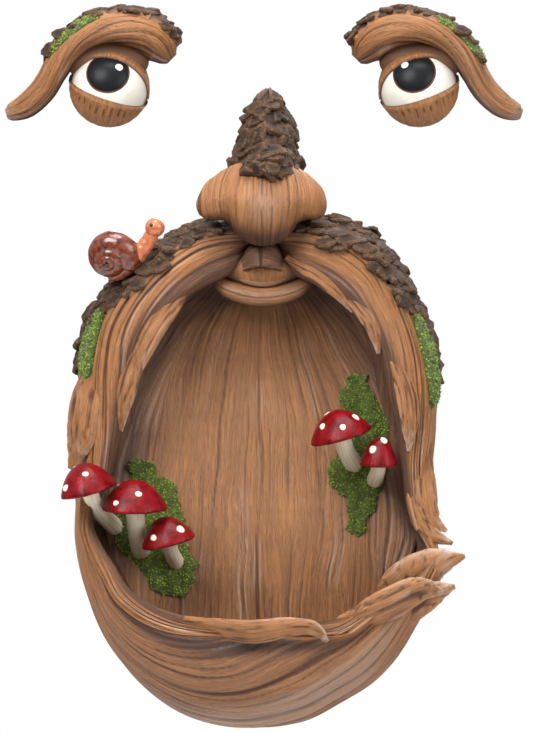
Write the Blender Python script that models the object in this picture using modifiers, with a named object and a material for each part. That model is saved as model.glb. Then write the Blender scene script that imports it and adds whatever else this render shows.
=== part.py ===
"""A tree face that is a bird feeder: two eyes under shaggy brows, and a nose and moustache over an
open mouth whose beard forms a bowl for seed. The castings hang flat against a trunk.

Metres. +X is the viewer's right, +Z is up, and the face looks along -Y. The backs lie in the
plane Y = 0. The origin is on the back of the mouth casting, just below its hanging hole."""

import math
import random

import bmesh
import bpy
import numpy as np
from mathutils import Matrix, Vector
from mathutils.bvhtree import BVHTree

# Outlines and sections below are drawn in millimetres, on the finished face at its full size.
MM = 0.001

# Mouth casting
ARCH_FORWARD = 46.0  # crest of the moustache arch, from the back plane
BOWL_FORWARD = 98.0  # lip of the seed bowl, from the back plane
RIM_THICKNESS = 9.0
BOWL_WALL = 9.0
BACK_WALL = 10.0
ARCH_WIDEST = 14.0  # where the arch is widest on its outer side, from the back plane
ARCH_POCKET = 22.0  # where the hollow is widest behind the arch
ARCH_UNDERCUT = 4.0  # how far the hollow reaches behind the arch's inner edge
BOWL_POCKET = 48.0  # where the hollow is widest inside the bowl
ARCH_BACK_TUCK = 3.0  # how far the arch's outer side draws in towards the trunk
BOWL_BACK_TUCK = 16.0  # the same for the bowl's underside
CREST_ROLL = 1.7  # fall of the crest beside its middle line
FLUTE_DEPTH = 2.2
HOLLOW_FLUTE_DEPTH = 1.5
BARK_THICKNESS = 3.2
LIP_HEIGHT = -6.0  # where the hollow ends, behind the lips
DISH_SIDES = 9.0  # how far the hollow's back rises to its sides, to the lips and to the bowl
DISH_TOP = 14.0
DISH_FOOT = 6.0
DISH_TOP_FROM = -70.0  # heights where the rise to the lips and to the bowl begins
DISH_FOOT_FROM = -190.0
HOLLOW_INSIDE_BOWL = 7.0  # how far inside the bowl's wall the hollow's back ends

# Hanging holes
HOLE_RADIUS = 4.5
HOLE_DEPTH = 8.0
SLOT_RADIUS = 2.0
SLOT_RISE = 7.0
MOUTH_HOLE_HEIGHT = 18.0
EYE_HOLE_HEIGHT = 6.0

# Eyes
EYE_RADIUS = 20.5
EYE_FORWARD = 8.0  # centre of the eyeball, from the back plane
LID_THICKNESS = 1.1
UPPER_LID = 48.0  # degrees above the line between the eye's corners
LOWER_LID = -20.0
EYE_TILT = 13.4  # degrees that the outer corner stands above the inner one
LEFT_EYE_AT = (-77.5, 78.0)
RIGHT_EYE_AT = (79.0, 78.0)

# Glued-on pieces
GLUE_GAP = 0.35
MOSS_THICKNESS = 2.6
MOSS_ROOT = 3.0
SHELL_RADIUS = 14.2
SNAIL_HEAD = 5.0

# Mesh fineness
RING_STEPS = 84
OUTSIDE_STEPS = 11  # over the ring's section, from the trunk to the crest
HOLLOW_COLUMNS = 31
HOLLOW_ROWS = 7
HOLE_STEPS = 14
SLOT_STEPS = 6
CASTING_KEPT = 0.66  # share of the triangles left after the pieces are joined
TRIM_KEPT = 0.75

# The middle of the mouth, which the arch and the bowl run round.
MOUTH = (0.0, -110.0)

# Outer edge of the mouth casting, seen from the front: left side down, then the right side up.
OUTLINE = [
    (0, 13), (-31, 9), (-48, 0), (-71, -17), (-85, -34), (-91, -52), (-93, -80), (-94, -105),
    (-94, -130), (-94, -150), (-88, -175), (-76, -200), (-56, -222), (-31, -238), (-6, -244),
    (19, -241), (39, -231), (53, -222), (64, -211), (76, -193), (84, -180), (89, -165), (88, -150),
    (85, -135), (86, -115), (88, -90), (89, -70), (86, -52), (79, -34), (70, -17), (58, 0), (40, 9),
]  # fmt: skip

# Inner edge of the arch and of the bowl's rim, in the same order.
OPENING = [
    (0, -14), (-12, -17), (-24, -21), (-38, -28), (-48, -37), (-55, -46), (-61, -58), (-65, -73),
    (-70, -94), (-75, -115), (-83, -130), (-84, -145), (-80, -153), (-74, -162), (-67, -173),
    (-56, -181), (-40, -187), (-28, -189), (-12, -190), (4, -189), (23, -190), (41, -187),
    (51, -181), (60, -174), (68, -171), (76, -168), (82, -160), (80, -152), (76, -145), (71, -127),
    (68, -107), (64, -81), (58, -57), (51, -43), (36, -27), (13, -18),
]  # fmt: skip

FORWARD = Vector((0, -1, 0))

# How far forward the crest stands, as a share of the way from the arch's crest to the bowl's lip.
CREST_SHARE = [
    (90, -0.10), (60, 0.0), (0, 0.0), (-18, 0.0), (-27, 0.16), (-36, 0.30), (-45, 0.48),
    (-58, 0.74), (-72, 0.93), (-90, 1.0), (-105, 0.96), (-120, 0.80), (-135, 0.55), (-150, 0.30),
    (-163, 0.10), (180, 0.0), (150, 0.0),
]  # fmt: skip

# Where bark covers the arch: (first angle, last angle) round the mouth, in degrees.
BARK_LEFT = (104, 152)
BARK_RIGHT = (27, 78)

# Locks of moustache and beard: spine points as (across, up, forward, half width), to the tip.
LOCKS = {
    "left_end": [(-82, -56, 28, 3), (-86, -78, 37, 9), (-90, -100, 41, 8), (-96, -115, 42, 1.5)],
    "left_tip_upper": [(-32, -18, 36, 2), (-50, -40, 42, 6), (-60, -58, 43, 5), (-66, -74, 41, 1.2)],
    "left_tip_lower": [(-54, -40, 38, 2), (-64, -64, 42, 6), (-69, -82, 43, 5), (-71, -96, 40, 1.2)],
    "right_tip_upper": [(12, -9, 38, 2), (27, -18, 43, 5), (38, -27, 44, 4), (45, -36, 42, 1.0)],
    "right_tip_middle": [(30, -14, 38, 2), (47, -32, 43, 5), (55, -45, 44, 4), (58, -57, 42, 1.0)],
    "right_tip_lower": [(64, -54, 40, 2), (71, -76, 45, 6), (73, -92, 47, 5), (73, -106, 46, 1.0)],
    "right_end_upper": [(82, -102, 30, 3), (80, -124, 40, 7), (84, -139, 45, 5), (92, -146, 46, 1.0)],
    "right_end_lower": [(76, -112, 30, 2), (77, -132, 41, 6), (83, -146, 46, 5), (95, -152, 48, 1.0)],
    "leaf_back_upper": [(58, -188, 32, 3), (70, -171, 43, 11), (84, -161, 50, 9), (101, -158, 52, 1.2)],
    "leaf_back_lower": [(56, -200, 44, 3), (72, -183, 53, 9), (85, -176, 55, 7), (96, -173, 55, 1.2)],
    "leaf_front": [(38, -190, 88, 2), (60, -181, 78, 8), (77, -174, 67, 7), (90, -176, 59, 1.2)],
    "rim_curl": [
        (-32, -190, 93, 1.5), (-6, -193, 99, 6), (12, -191, 100, 5.5), (25, -192, 98, 4),
        (32, -199, 94, 1.0),
    ],
}
LOCK_THICKNESS = 0.9  # of a lock's half width
LOCK_SAMPLES = 6
LOCK_SIDES = 6

# Nose: balls as (across, up, forward), (radii). The middle one, the shoulders, and the two wings.
NOSE_BALLS = {
    "nose_middle": ((0.5, 20, 46), (21.5, 23.5, 22)),
    "nose_shoulders": ((0.5, 27, 42), (25, 12.5, 20)),
    "nose_wing_left": ((-18, 18.5, 38), (15.5, 11, 14)),
    "nose_wing_right": ((18, 18.5, 38), (15.5, 11, 14)),
}
# Bark over the bridge of the nose: (up, centre across, half width, forward), bottom to top.
BRIDGE = [
    (2, 0, 20, 34), (14, 0, 21, 44), (26, 0.5, 21, 62), (31, 1.0, 21.5, 65), (38, 1.5, 18.5, 61),
    (46, 1.5, 17.3, 53), (54, 2.0, 15.5, 46), (62, 2.3, 13, 38), (69, 2.6, 10.5, 31),
    (74, 3.0, 7, 24), (76, 3.2, 3, 16),
]  # fmt: skip
BRIDGE_SIDES = 18
BRIDGE_CUTS = 14

# Lips: rolls as (across, up, forward) points and a radius.
LOWER_LIP = ([(-25, -20, 27), (-14, -27, 31), (0, -29, 33), (14, -27, 31), (25, -20, 27)], 4.2)
UPPER_LIP = ([(-15, -17, 30), (-7, -21.5, 33), (0, -23, 34), (7, -21.5, 33), (15, -17, 30)], 2.2)

# Left brow from its outer tip, about the eyeball's centre: (across, up, half width, forward).
BROW = [
    (-52, -15, 2.5, 6), (-49, -14, 5, 10), (-42, -10, 7, 14), (-34, -2, 7.5, 18), (-28, 8, 7.5, 22),
    (-22, 17, 8, 25), (-13, 25, 8.5, 28), (-1, 30, 10, 30), (11, 30, 11, 30), (22, 26, 12, 28),
    (30, 20, 11, 24), (35, 15, 8, 18), (37, 13, 4, 12),
]  # fmt: skip
BROW_SIDES = 14
BROW_CUTS = 17
EYE_ROWS = 11
SOCKET = ((1, 13, 4), (23, 14, 15))  # centre and radii of the bed behind the eyeball and brow
BROW_BARK = (5, 11)  # brow sections that carry bark

# Moss pads as outlines seen from the front.
MOSS_LEFT_HOLLOW = [
    (-67, -110), (-56, -112), (-50, -122), (-46, -120), (-42, -136), (-38, -152), (-33, -166),
    (-38, -180), (-52, -178), (-62, -168), (-72, -156), (-80, -144), (-76, -134), (-66, -126),
]  # fmt: skip
MOSS_RIGHT_HOLLOW = [
    (43, -68), (51, -67), (56, -80), (64, -92), (66, -108), (62, -122), (56, -136), (49, -150),
    (42, -146), (43, -132), (33, -122), (34, -112), (44, -98), (40, -82),
]  # fmt: skip
MOSS_STEPS = 9

# Moss on the arch: (first angle, last angle, first share, last share) over the ring's section.
MOSS_LEFT_ARCH = (144, 163, 0.14, 0.30)
MOSS_RIGHT_ARCH = (13, 38, 0.14, 0.30)

# Toadstools: cap middle (across, up, forward), foot (across, up), cap radius, cap height,
# stem radius, lean to the viewer's left in degrees.
TOADSTOOLS = {
    "toadstool_left_outer": ((-87, -125, 56), (-74, -145), 14.3, 13.5, 3.4, 15),
    "toadstool_left_middle": ((-64, -134, 49), (-61.5, -157), 16.5, 14, 3.8, 0),
    "toadstool_left_inner": ((-47, -151, 44), (-43.5, -163), 13.5, 12.5, 3.2, 14),
    "toadstool_right_large": ((39.5, -98, 40), (46.5, -113.5), 15.6, 13, 3.7, 16),
    "toadstool_right_small": ((58.5, -112, 42), (56.5, -121.5), 9.6, 13, 3.2, 0),
}
CAP_NOD = 14.0  # degrees that each cap tips towards the viewer
CAP_STEPS = 12

# Snail: shell centre and head centre, as (across, up, forward).
SHELL_AT = (-73.5, -6, 42)
HEAD_AT = (-53.5, 4.5, 46)


def at(across, up, forward):
    """A drawn point in metres."""
    return Vector((across * MM, -forward * MM, up * MM))


def material(name, colour, roughness):
    made = bpy.data.materials.new(name)
    made.use_nodes = True
    shader = made.node_tree.nodes["Principled BSDF"]
    shader.inputs["Base Color"].default_value = (*colour, 1)
    shader.inputs["Roughness"].default_value = roughness
    shader.inputs["Metallic"].default_value = 0.0
    return made


def hermite(knots, values, tangents, x):
    """Cubic through the knots with those tangents."""
    i = np.clip(np.searchsorted(knots, x, side="right") - 1, 0, len(knots) - 2)
    step = knots[i + 1] - knots[i]
    t = (x - knots[i]) / step
    a = values[i] * (2 * t**3 - 3 * t**2 + 1) + values[i + 1] * (3 * t**2 - 2 * t**3)
    return a + step * (tangents[i] * (t**3 - 2 * t**2 + t) + tangents[i + 1] * (t**3 - t**2))


def gentle_tangents(knots, values):
    """Slopes at the knots that never overshoot a peak."""
    slopes = np.diff(values) / np.diff(knots)
    tangents = np.zeros(len(values))
    for i in range(1, len(values) - 1):
        if slopes[i - 1] * slopes[i] > 0:
            tangents[i] = 2 * slopes[i - 1] * slopes[i] / (slopes[i - 1] + slopes[i])
    return tangents


def round_the_mouth(points):
    """A smooth function of the angle round the mouth, in degrees, through (angle, value) points."""
    points = sorted((angle % 360, value) for angle, value in points)
    turns = [(a - 360, v) for a, v in points] + points + [(a + 360, v) for a, v in points]
    knots = np.array([a for a, _ in turns], float)
    values = np.array([v for _, v in turns], float)
    tangents = gentle_tangents(knots, values)
    return lambda angle: float(hermite(knots, values, tangents, angle % 360))


def outline_radius(outline):
    """How far an outline lies from the middle of the mouth, over the angle."""
    polar = []
    for across, up in outline:
        dx, dz = across - MOUTH[0], up - MOUTH[1]
        polar.append((math.degrees(math.atan2(dz, dx)), math.hypot(dx, dz)))
    return round_the_mouth(polar)


outer_radius = outline_radius(OUTLINE)
opening_radius = outline_radius(OPENING)
crest_share = round_the_mouth(CREST_SHARE)


def mix(a, b, share):
    return a + (b - a) * share


def along(points, places):
    """Points on a smooth line through tuples of numbers. Place 1.5 is halfway from the second
    tuple to the third."""
    points = np.array(points, float)
    knots = np.arange(len(points), dtype=float)
    columns = []
    for column in points.T:
        tangents = np.gradient(column)
        columns.append([float(hermite(knots, column, tangents, place)) for place in places])
    return list(zip(*columns))


def through(points, samples):
    """Points spread evenly along a smooth line through tuples of numbers."""
    return along(points, np.linspace(0, len(points) - 1, samples))


def ring_section(angle):
    """The casting cut through at one angle: (radius, forward) points, from the trunk over the
    outside and the crest, down into the hollow and back to the trunk."""
    outer, opening, share = outer_radius(angle), opening_radius(angle), crest_share(angle)
    bowl = min(1.0, max(0.0, share))
    band = outer - opening
    crest = mix(ARCH_FORWARD, BOWL_FORWARD, share)
    half_rim = mix(band * 0.46, RIM_THICKNESS / 2, bowl**0.5)
    crest_radius = opening + half_rim
    wide = mix(ARCH_WIDEST, BOWL_POCKET, bowl)
    pocket = mix(opening + ARCH_UNDERCUT, outer - BOWL_WALL, bowl)
    pocket_forward = mix(ARCH_POCKET, BOWL_POCKET, bowl)
    foot = outer - mix(ARCH_BACK_TUCK, BOWL_BACK_TUCK, bowl)
    return [
        (foot, -5.0),
        (mix(foot, outer, 0.75), wide * 0.42),
        (outer, wide),
        (mix(crest_radius, outer, 0.86), mix(wide, crest, 0.42)),
        (mix(crest_radius, outer, 0.56), mix(wide, crest, 0.78)),
        (crest_radius + half_rim * 0.45, crest - CREST_ROLL),
        (crest_radius, crest),
        (opening + half_rim * 0.35, crest - CREST_ROLL),
        (opening, crest - mix(9.0, 6.0, bowl)),
        (mix(opening, pocket, 0.55), mix(pocket_forward, crest, 0.45)),
        (pocket, pocket_forward),
        (pocket - 7.0, BACK_WALL + mix(7.0, 10.0, bowl)),
        (pocket - 22.0, -5.0),
    ]


def on_ring(angle, share, lift=0.0):
    """The point at a share of the way over the ring's section, raised off it by lift."""
    section = through(ring_section(angle), 57)
    place = share * (len(section) - 1)
    i = min(int(place), len(section) - 2)
    (r0, f0), (r1, f1) = section[i], section[i + 1]
    length = math.hypot(r1 - r0, f1 - f0)
    radius = mix(r0, r1, place - i) + lift * (f1 - f0) / length
    forward = mix(f0, f1, place - i) - lift * (r1 - r0) / length
    turn = math.radians(angle)
    return at(MOUTH[0] + radius * math.cos(turn), MOUTH[1] + radius * math.sin(turn), forward)


def hollow_forward(across, up):
    """How far forward the back of the hollow stands: a shallow dish that rises to its edges."""
    side = min(1.0, abs(across) / (opening_radius(180) - 1.0))
    top = max(0.0, (up - DISH_TOP_FROM) / 60.0)
    low = max(0.0, (DISH_FOOT_FROM - up) / 40.0)
    return BACK_WALL + DISH_SIDES * side**2.6 + DISH_TOP * top**1.8 + DISH_FOOT * low**2


def linked(name, mesh, collection):
    made = bpy.data.objects.new(name, mesh)
    collection.objects.link(made)
    return made


def body_from(name, bm, collection):
    """An object from a closed bmesh, its faces turned outwards."""
    bmesh.ops.triangulate(bm, faces=bm.faces)
    bm.normal_update()
    bmesh.ops.recalc_face_normals(bm, faces=bm.faces)
    mesh = bpy.data.meshes.new(name)
    bm.to_mesh(mesh)
    bm.free()
    return linked(name, mesh, collection)


def loft(name, rows, collection, closed_rows=False):
    """A closed body through rows of points. Its two ends are capped, or the last row meets the
    first."""
    bm = bmesh.new()
    verts = [[bm.verts.new(p) for p in row] for row in rows]
    pairs = list(zip(verts, verts[1:]))
    if closed_rows:
        pairs.append((verts[-1], verts[0]))
    for first, second in pairs:
        for i in range(len(first)):
            j = (i + 1) % len(first)
            bm.faces.new((first[i], first[j], second[j], second[i]))
    if not closed_rows:
        bm.faces.new(verts[0])
        bm.faces.new(verts[-1])
    return body_from(name, bm, collection)


def evaluated_mesh(obj):
    bpy.context.view_layer.update()
    graph = bpy.context.evaluated_depsgraph_get()
    return bpy.data.meshes.new_from_object(obj.evaluated_get(graph))


def keep_largest(bm):
    """Drops all but the largest group of faces joined by edges: a cut can leave crumbs."""
    left, found = set(bm.faces), []
    while left:
        stack, group = [left.pop()], []
        while stack:
            face = stack.pop()
            group.append(face)
            for edge in face.edges:
                for other in edge.link_faces:
                    if other in left:
                        left.remove(other)
                        stack.append(other)
        found.append(group)
    found.sort(key=len, reverse=True)
    crumbs = [face for group in found[1:] for face in group]
    bmesh.ops.delete(bm, geom=crumbs, context="FACES")


def combined(target, others, operation):
    """The target joined with, or cut by, all the other bodies at once. Those are then removed."""
    group = bpy.data.collections.new("operands")
    bpy.context.scene.collection.children.link(group)
    for other in others:
        group.objects.link(other)
    modifier = target.modifiers.new(operation.lower(), "BOOLEAN")
    modifier.operation = operation
    modifier.solver = "EXACT"
    modifier.operand_type = "COLLECTION"
    modifier.collection = group
    mesh = evaluated_mesh(target)
    target.modifiers.clear()
    bm = bmesh.new()
    bm.from_mesh(mesh)
    bmesh.ops.remove_doubles(bm, verts=bm.verts, dist=0.002 * MM)
    bmesh.ops.triangulate(bm, faces=bm.faces)
    keep_largest(bm)
    bm.to_mesh(mesh)
    bm.free()
    target.data = mesh
    bpy.data.collections.remove(group)
    for other in others:
        bpy.data.objects.remove(other)
    return target


def thinned(obj, kept):
    """The object with that share of its triangles. It is thinned in millimetres, because the
    modifier takes errors that are small in metres for none."""
    obj.data.transform(Matrix.Scale(1 / MM, 4))
    modifier = obj.modifiers.new("thin", "DECIMATE")
    modifier.ratio = kept
    mesh = evaluated_mesh(obj)
    mesh.transform(Matrix.Scale(MM, 4))
    obj.modifiers.clear()
    obj.data = mesh
    return obj


def block(name, low, high, collection):
    """A box between two drawn corners."""
    bm = bmesh.new()
    bmesh.ops.create_cube(bm, size=1)
    low, high = at(*low), at(*high)
    for vert in bm.verts:
        vert.co = Vector(mix(low[i], high[i], vert.co[i] + 0.5) for i in range(3))
    return body_from(name, bm, collection)


def ball(name, centre, radii, collection, segments=16, rings=8, flute=0.0):
    """An ellipsoid with its poles up and down, and upright flutes."""
    bm = bmesh.new()
    bmesh.ops.create_uvsphere(bm, u_segments=segments, v_segments=rings, radius=1)
    for vert in bm.verts:
        turn = math.atan2(vert.co.y, vert.co.x)
        step = round(turn / (2 * math.pi) * segments)
        depth = flute * (1 - vert.co.z**2) * (1 if step % 2 else -1)
        across, away, up = (vert.co[i] * (radii[i] + depth) for i in range(3))
        vert.co = at(centre[0] + across, centre[1] + up, centre[2] - away)
    return body_from(name, bm, collection)


def lock(name, spine, collection):
    """A tapering lock of hair that lies on the casting and faces outwards."""
    line = through(spine, LOCK_SAMPLES)
    rows = []
    for i, (across, up, forward, half) in enumerate(line):
        before, after = line[max(0, i - 1)], line[min(len(line) - 1, i + 1)]
        heading = (at(*after[:3]) - at(*before[:3])).normalized()
        radial = Vector((across - MOUTH[0], 0, up - MOUTH[1])).normalized()
        facing = Vector((0, -1, 0)) + radial * 0.5
        facing = (facing - heading * facing.dot(heading)).normalized()
        side = heading.cross(facing)
        row = []
        for k in range(LOCK_SIDES):
            turn = 2 * math.pi * k / LOCK_SIDES
            width = side * math.cos(turn) * half
            height = facing * math.sin(turn) * half * LOCK_THICKNESS
            row.append(at(across, up, forward) + (width + height) * MM)
        rows.append(row)
    return loft(name, rows, collection)


def roll(name, points, radius, collection):
    """A smooth tube through drawn points, as a curve with filled caps made a mesh."""
    curve = bpy.data.curves.new(name, "CURVE")
    curve.dimensions = "3D"
    curve.bevel_depth = radius * MM
    curve.bevel_resolution = 1
    curve.use_fill_caps = True
    spline = curve.splines.new("POLY")
    line = through(points, 6)
    spline.points.add(len(line) - 1)
    for point, place in zip(spline.points, line):
        point.co = (*at(*place), 1)
    made = linked(name, curve, collection)
    mesh = evaluated_mesh(made)
    bpy.data.objects.remove(made)
    bm = bmesh.new()
    bm.from_mesh(mesh)
    bmesh.ops.remove_doubles(bm, verts=bm.verts, dist=1e-6)
    return body_from(name, bm, collection)


def ring(collection):
    """The arch and the bowl, one loop round the mouth, with flutes along it and bark on top."""
    pick = random.Random(3)
    places = [6 * i / (OUTSIDE_STEPS - 1) for i in range(OUTSIDE_STEPS)] + list(range(7, 13))
    rows = []
    for step in range(RING_STEPS):
        angle = 360.0 * step / RING_STEPS - 180.0
        section = along(ring_section(angle), places)
        turn = math.radians(angle)
        barked = BARK_LEFT[0] <= angle <= BARK_LEFT[1] or BARK_RIGHT[0] <= angle <= BARK_RIGHT[1]
        row = []
        for i, (radius, forward) in enumerate(section):
            r0, f0 = section[max(0, i - 1)]
            r1, f1 = section[min(len(section) - 1, i + 1)]
            length = math.hypot(r1 - r0, f1 - f0)
            lift = 0.0
            if 3 <= i <= OUTSIDE_STEPS + 1:
                lift = FLUTE_DEPTH * (0.5 if i % 2 else -0.5)
            if barked and 1 <= i <= 8:
                lift = BARK_THICKNESS * pick.uniform(0.4, 1.4)
            radius += lift * (f1 - f0) / length
            forward -= lift * (r1 - r0) / length
            across = MOUTH[0] + radius * math.cos(turn)
            up = MOUTH[1] + radius * math.sin(turn)
            row.append(at(across, up, forward))
        rows.append(row)
    return loft("arch_and_bowl", rows, collection, closed_rows=True)


def hollow(collection):
    """The back of the mouth: a dished board with upright flutes, whose edges run into the ring."""
    top, bottom = LIP_HEIGHT, MOUTH[1] - hollow_depth()
    bm = bmesh.new()
    grid = []
    for row in range(HOLLOW_ROWS + 1):
        up = mix(top, bottom, row / HOLLOW_ROWS)
        half = hollow_half_width(up)
        grid.append([])
        for column in range(HOLLOW_COLUMNS):
            across = half * (2 * column / (HOLLOW_COLUMNS - 1) - 1)
            flute = HOLLOW_FLUTE_DEPTH * (0.5 if column % 2 else -0.5)
            grid[-1].append(bm.verts.new(at(across, up, hollow_forward(across, up) + flute)))
    for upper, lower in zip(grid, grid[1:]):
        for i in range(HOLLOW_COLUMNS - 1):
            bm.faces.new((upper[i], upper[i + 1], lower[i + 1], lower[i]))
    edge = grid[0] + [r[-1] for r in grid[1:]] + grid[-1][-2::-1] + [r[0] for r in grid[-2:0:-1]]
    back = [bm.verts.new((vert.co.x, 4.0 * MM, vert.co.z)) for vert in edge]
    for i in range(len(edge)):
        j = (i + 1) % len(edge)
        bm.faces.new((edge[i], edge[j], back[j], back[i]))
    bm.faces.new(back)
    return body_from("hollow", bm, collection)


def hollow_depth():
    """How far below the middle of the mouth the hollow's back runs, to end inside the bowl."""
    return outer_radius(-90) - BOWL_BACK_TUCK - HOLLOW_INSIDE_BOWL


def hollow_half_width(up):
    """Half the width of the hollow's back at a height. Its edges end inside the ring."""
    away = MOUTH[1] - up
    reach = hollow_depth() + 1.0 if away > 0 else 1.25 * (LIP_HEIGHT - MOUTH[1])
    return (outer_radius(180) - 10.0) * math.sqrt(max(0.02, 1 - (away / reach) ** 2))


def bridge(collection):
    """Bark over the bridge of the nose, a half cone against the trunk."""
    pick = random.Random(7)
    rows = []
    for up, centre, half, forward in through(BRIDGE, BRIDGE_CUTS):
        row = []
        for k in range(BRIDGE_SIDES):
            turn = 2 * math.pi * (k + 0.5) / BRIDGE_SIDES
            rough = 1 + 0.07 * pick.uniform(-1, 1) if up > 28 else 1
            across = centre + half * rough * math.cos(turn)
            row.append(at(across, up + pick.uniform(-1, 1), forward * rough * math.sin(turn)))
        rows.append(row)
    return loft("bridge", rows, collection)


def hanging_hole(across, up, collection):
    """A keyhole cutter: a round hole for a screw's head, and a slot above it for the shank."""
    meet = math.acos(SLOT_RADIUS / HOLE_RADIUS)
    outline = []
    for step in range(HOLE_STEPS + 1):
        turn = math.pi - meet + (math.pi + 2 * meet) * step / HOLE_STEPS
        outline.append((HOLE_RADIUS * math.cos(turn), HOLE_RADIUS * math.sin(turn)))
    for step in range(SLOT_STEPS + 1):
        turn = math.pi * step / SLOT_STEPS
        outline.append((SLOT_RADIUS * math.cos(turn), SLOT_RISE + SLOT_RADIUS * math.sin(turn)))
    rows = [[at(across + x, up + z, forward) for x, z in outline] for forward in (-2.0, HOLE_DEPTH)]
    return loft("keyhole", rows, collection)


def behind_the_face(collection):
    """Everything behind the back plane, well past the castings on every side."""
    reach = 4 * BOWL_FORWARD
    return block("behind", (-reach, -reach, -reach / 2), (reach, reach, 0), collection)


def hung(casting, name, across, up, helpers):
    """The casting, cut off at the back plane, with its hanging hole."""
    combined(casting, [behind_the_face(helpers)], "DIFFERENCE")
    thinned(casting, CASTING_KEPT)
    for vert in casting.data.vertices:
        if abs(vert.co.y) < 0.1 * MM:
            vert.co.y = 0.0
    combined(casting, [hanging_hole(across, up, helpers)], "DIFFERENCE")
    casting.name = name
    return casting


def mouth_bowl(parts, helpers):
    body = ring(parts)
    joined = [hollow(helpers), bridge(helpers)]
    for name, (centre, radii) in NOSE_BALLS.items():
        joined.append(ball(name, centre, radii, helpers, flute=FLUTE_DEPTH * 0.5))
    joined.append(ball("lip_bed", (0, -14, 22), (25, 12, 12), helpers, segments=12, rings=6))
    for name, (points, radius) in (("lower_lip", LOWER_LIP), ("upper_lip", UPPER_LIP)):
        joined.append(roll(name, points, radius, helpers))
    joined += [lock(name, spine, helpers) for name, spine in LOCKS.items()]
    combined(body, joined, "UNION")
    return hung(body, "mouth_bowl", 0, MOUTH_HOLE_HEIGHT, helpers)


def eyeball(centre, mirror, collection):
    """An eyeball in its lids. Its poles are the eye's corners, so the lids end on its meridians."""
    lids = np.linspace(UPPER_LID, LOWER_LID + 360, 15)
    opening = np.linspace(LOWER_LID, UPPER_LID, 6)
    edge = 1.0
    turns = [UPPER_LID + edge, *lids[1:-1], LOWER_LID + 360 - edge]
    turns += [t + 360 for t in opening]
    tilt = math.radians(EYE_TILT)
    bm = bmesh.new()
    rows = []
    for ring_step in range(1, EYE_ROWS):
        corner = math.pi * ring_step / EYE_ROWS
        row = []
        for i, turn in enumerate(turns):
            open_eye = i >= len(turns) - len(opening)
            radius = EYE_RADIUS - (LID_THICKNESS if open_eye else 0.0)
            a, reach = -math.cos(corner) * radius, math.sin(corner) * radius
            lift, forward = reach * math.sin(math.radians(turn)), reach * math.cos(math.radians(turn))
            across = a * math.cos(tilt) + lift * math.sin(tilt)
            up = -a * math.sin(tilt) + lift * math.cos(tilt)
            row.append(at(centre[0] + mirror * across, centre[1] + up, EYE_FORWARD + forward))
        rows.append(row)
    verts = [[bm.verts.new(p) for p in row] for row in rows]
    ends = []
    for sign in (-1, 1):
        across, up = sign * EYE_RADIUS * math.cos(tilt), -sign * EYE_RADIUS * math.sin(tilt)
        ends.append(bm.verts.new(at(centre[0] + mirror * across, centre[1] + up, EYE_FORWARD)))
    for first, second in zip(verts, verts[1:]):
        for i in range(len(turns)):
            j = (i + 1) % len(turns)
            bm.faces.new((first[i], first[j], second[j], second[i]))
    for end, row in ((ends[0], verts[0]), (ends[1], verts[-1])):
        for i in range(len(turns)):
            bm.faces.new((end, row[i], row[(i + 1) % len(turns)]))
    return body_from("eyeball", bm, collection)


def brow_row(centre, mirror, section, direction, lift=None):
    """One cut through a brow: a rounded block standing on the back plane."""
    across, up, half, forward = section
    out = (-direction[1], direction[0])
    row = []
    for k in range(BROW_SIDES):
        turn = 2 * math.pi * (k + 0.5) / BROW_SIDES
        extra = lift[k] if lift else 0.0
        wide = (abs(math.cos(turn)) ** 0.75) * math.copysign(1, math.cos(turn)) * (half + extra)
        high = (abs(math.sin(turn)) ** 0.85) * math.copysign(1, math.sin(turn)) * (forward + extra)
        point_across, point_up = across + out[0] * wide, up + out[1] * wide
        row.append(at(centre[0] + mirror * point_across, centre[1] + point_up, high))
    return row


def brow_sections():
    """The brow's cuts and the direction it runs in at each."""
    line = through(BROW, BROW_CUTS)
    found = []
    for i, section in enumerate(line):
        before, after = line[max(0, i - 1)], line[min(len(line) - 1, i + 1)]
        dx, dz = after[0] - before[0], after[1] - before[1]
        length = math.hypot(dx, dz)
        found.append((section, (dx / length, dz / length)))
    return found


def brow(centre, mirror, collection, seed):
    pick = random.Random(seed)
    rows = []
    sections = brow_sections()
    scale = (len(sections) - 1) / (len(BROW) - 1)
    first, last = (round(i * scale) for i in BROW_BARK)
    for i, (section, direction) in enumerate(sections):
        lift = []
        for k in range(BROW_SIDES):
            barked = first <= i <= last and (k <= 2 or k == BROW_SIDES - 1)
            flute = 0.35 if k % 2 else -0.35
            lift.append(BARK_THICKNESS * 0.8 * pick.uniform(0.3, 1.2) if barked else flute)
        rows.append(brow_row(centre, mirror, section, direction, lift))
    return loft("brow", rows, collection)


def eye(name, centre, mirror, seed, parts, helpers):
    body = eyeball(centre, mirror, parts)
    (across, up, forward), radii = SOCKET
    middle = (centre[0] + mirror * across, centre[1] + up, forward)
    socket = ball("socket", middle, radii, helpers, segments=14, rings=6)
    combined(body, [socket, brow(centre, mirror, helpers, seed)], "UNION")
    return hung(body, name, centre[0], centre[1] + EYE_HOLE_HEIGHT, helpers)


def seated(piece, carriers, facing, helpers):
    """The piece, cut so that it sits on its carriers. Facing is the way it is pulled off them,
    and the glue gap lies that way."""
    for carrier in carriers:
        for gap in (GLUE_GAP * MM, 0.0):
            cutter = linked(carrier.name + "_cutter", carrier.data.copy(), helpers)
            cutter.data.transform(Matrix.Translation(facing.normalized() * gap))
            combined(piece, [cutter], "DIFFERENCE")
    return thinned(piece, TRIM_KEPT)


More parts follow.
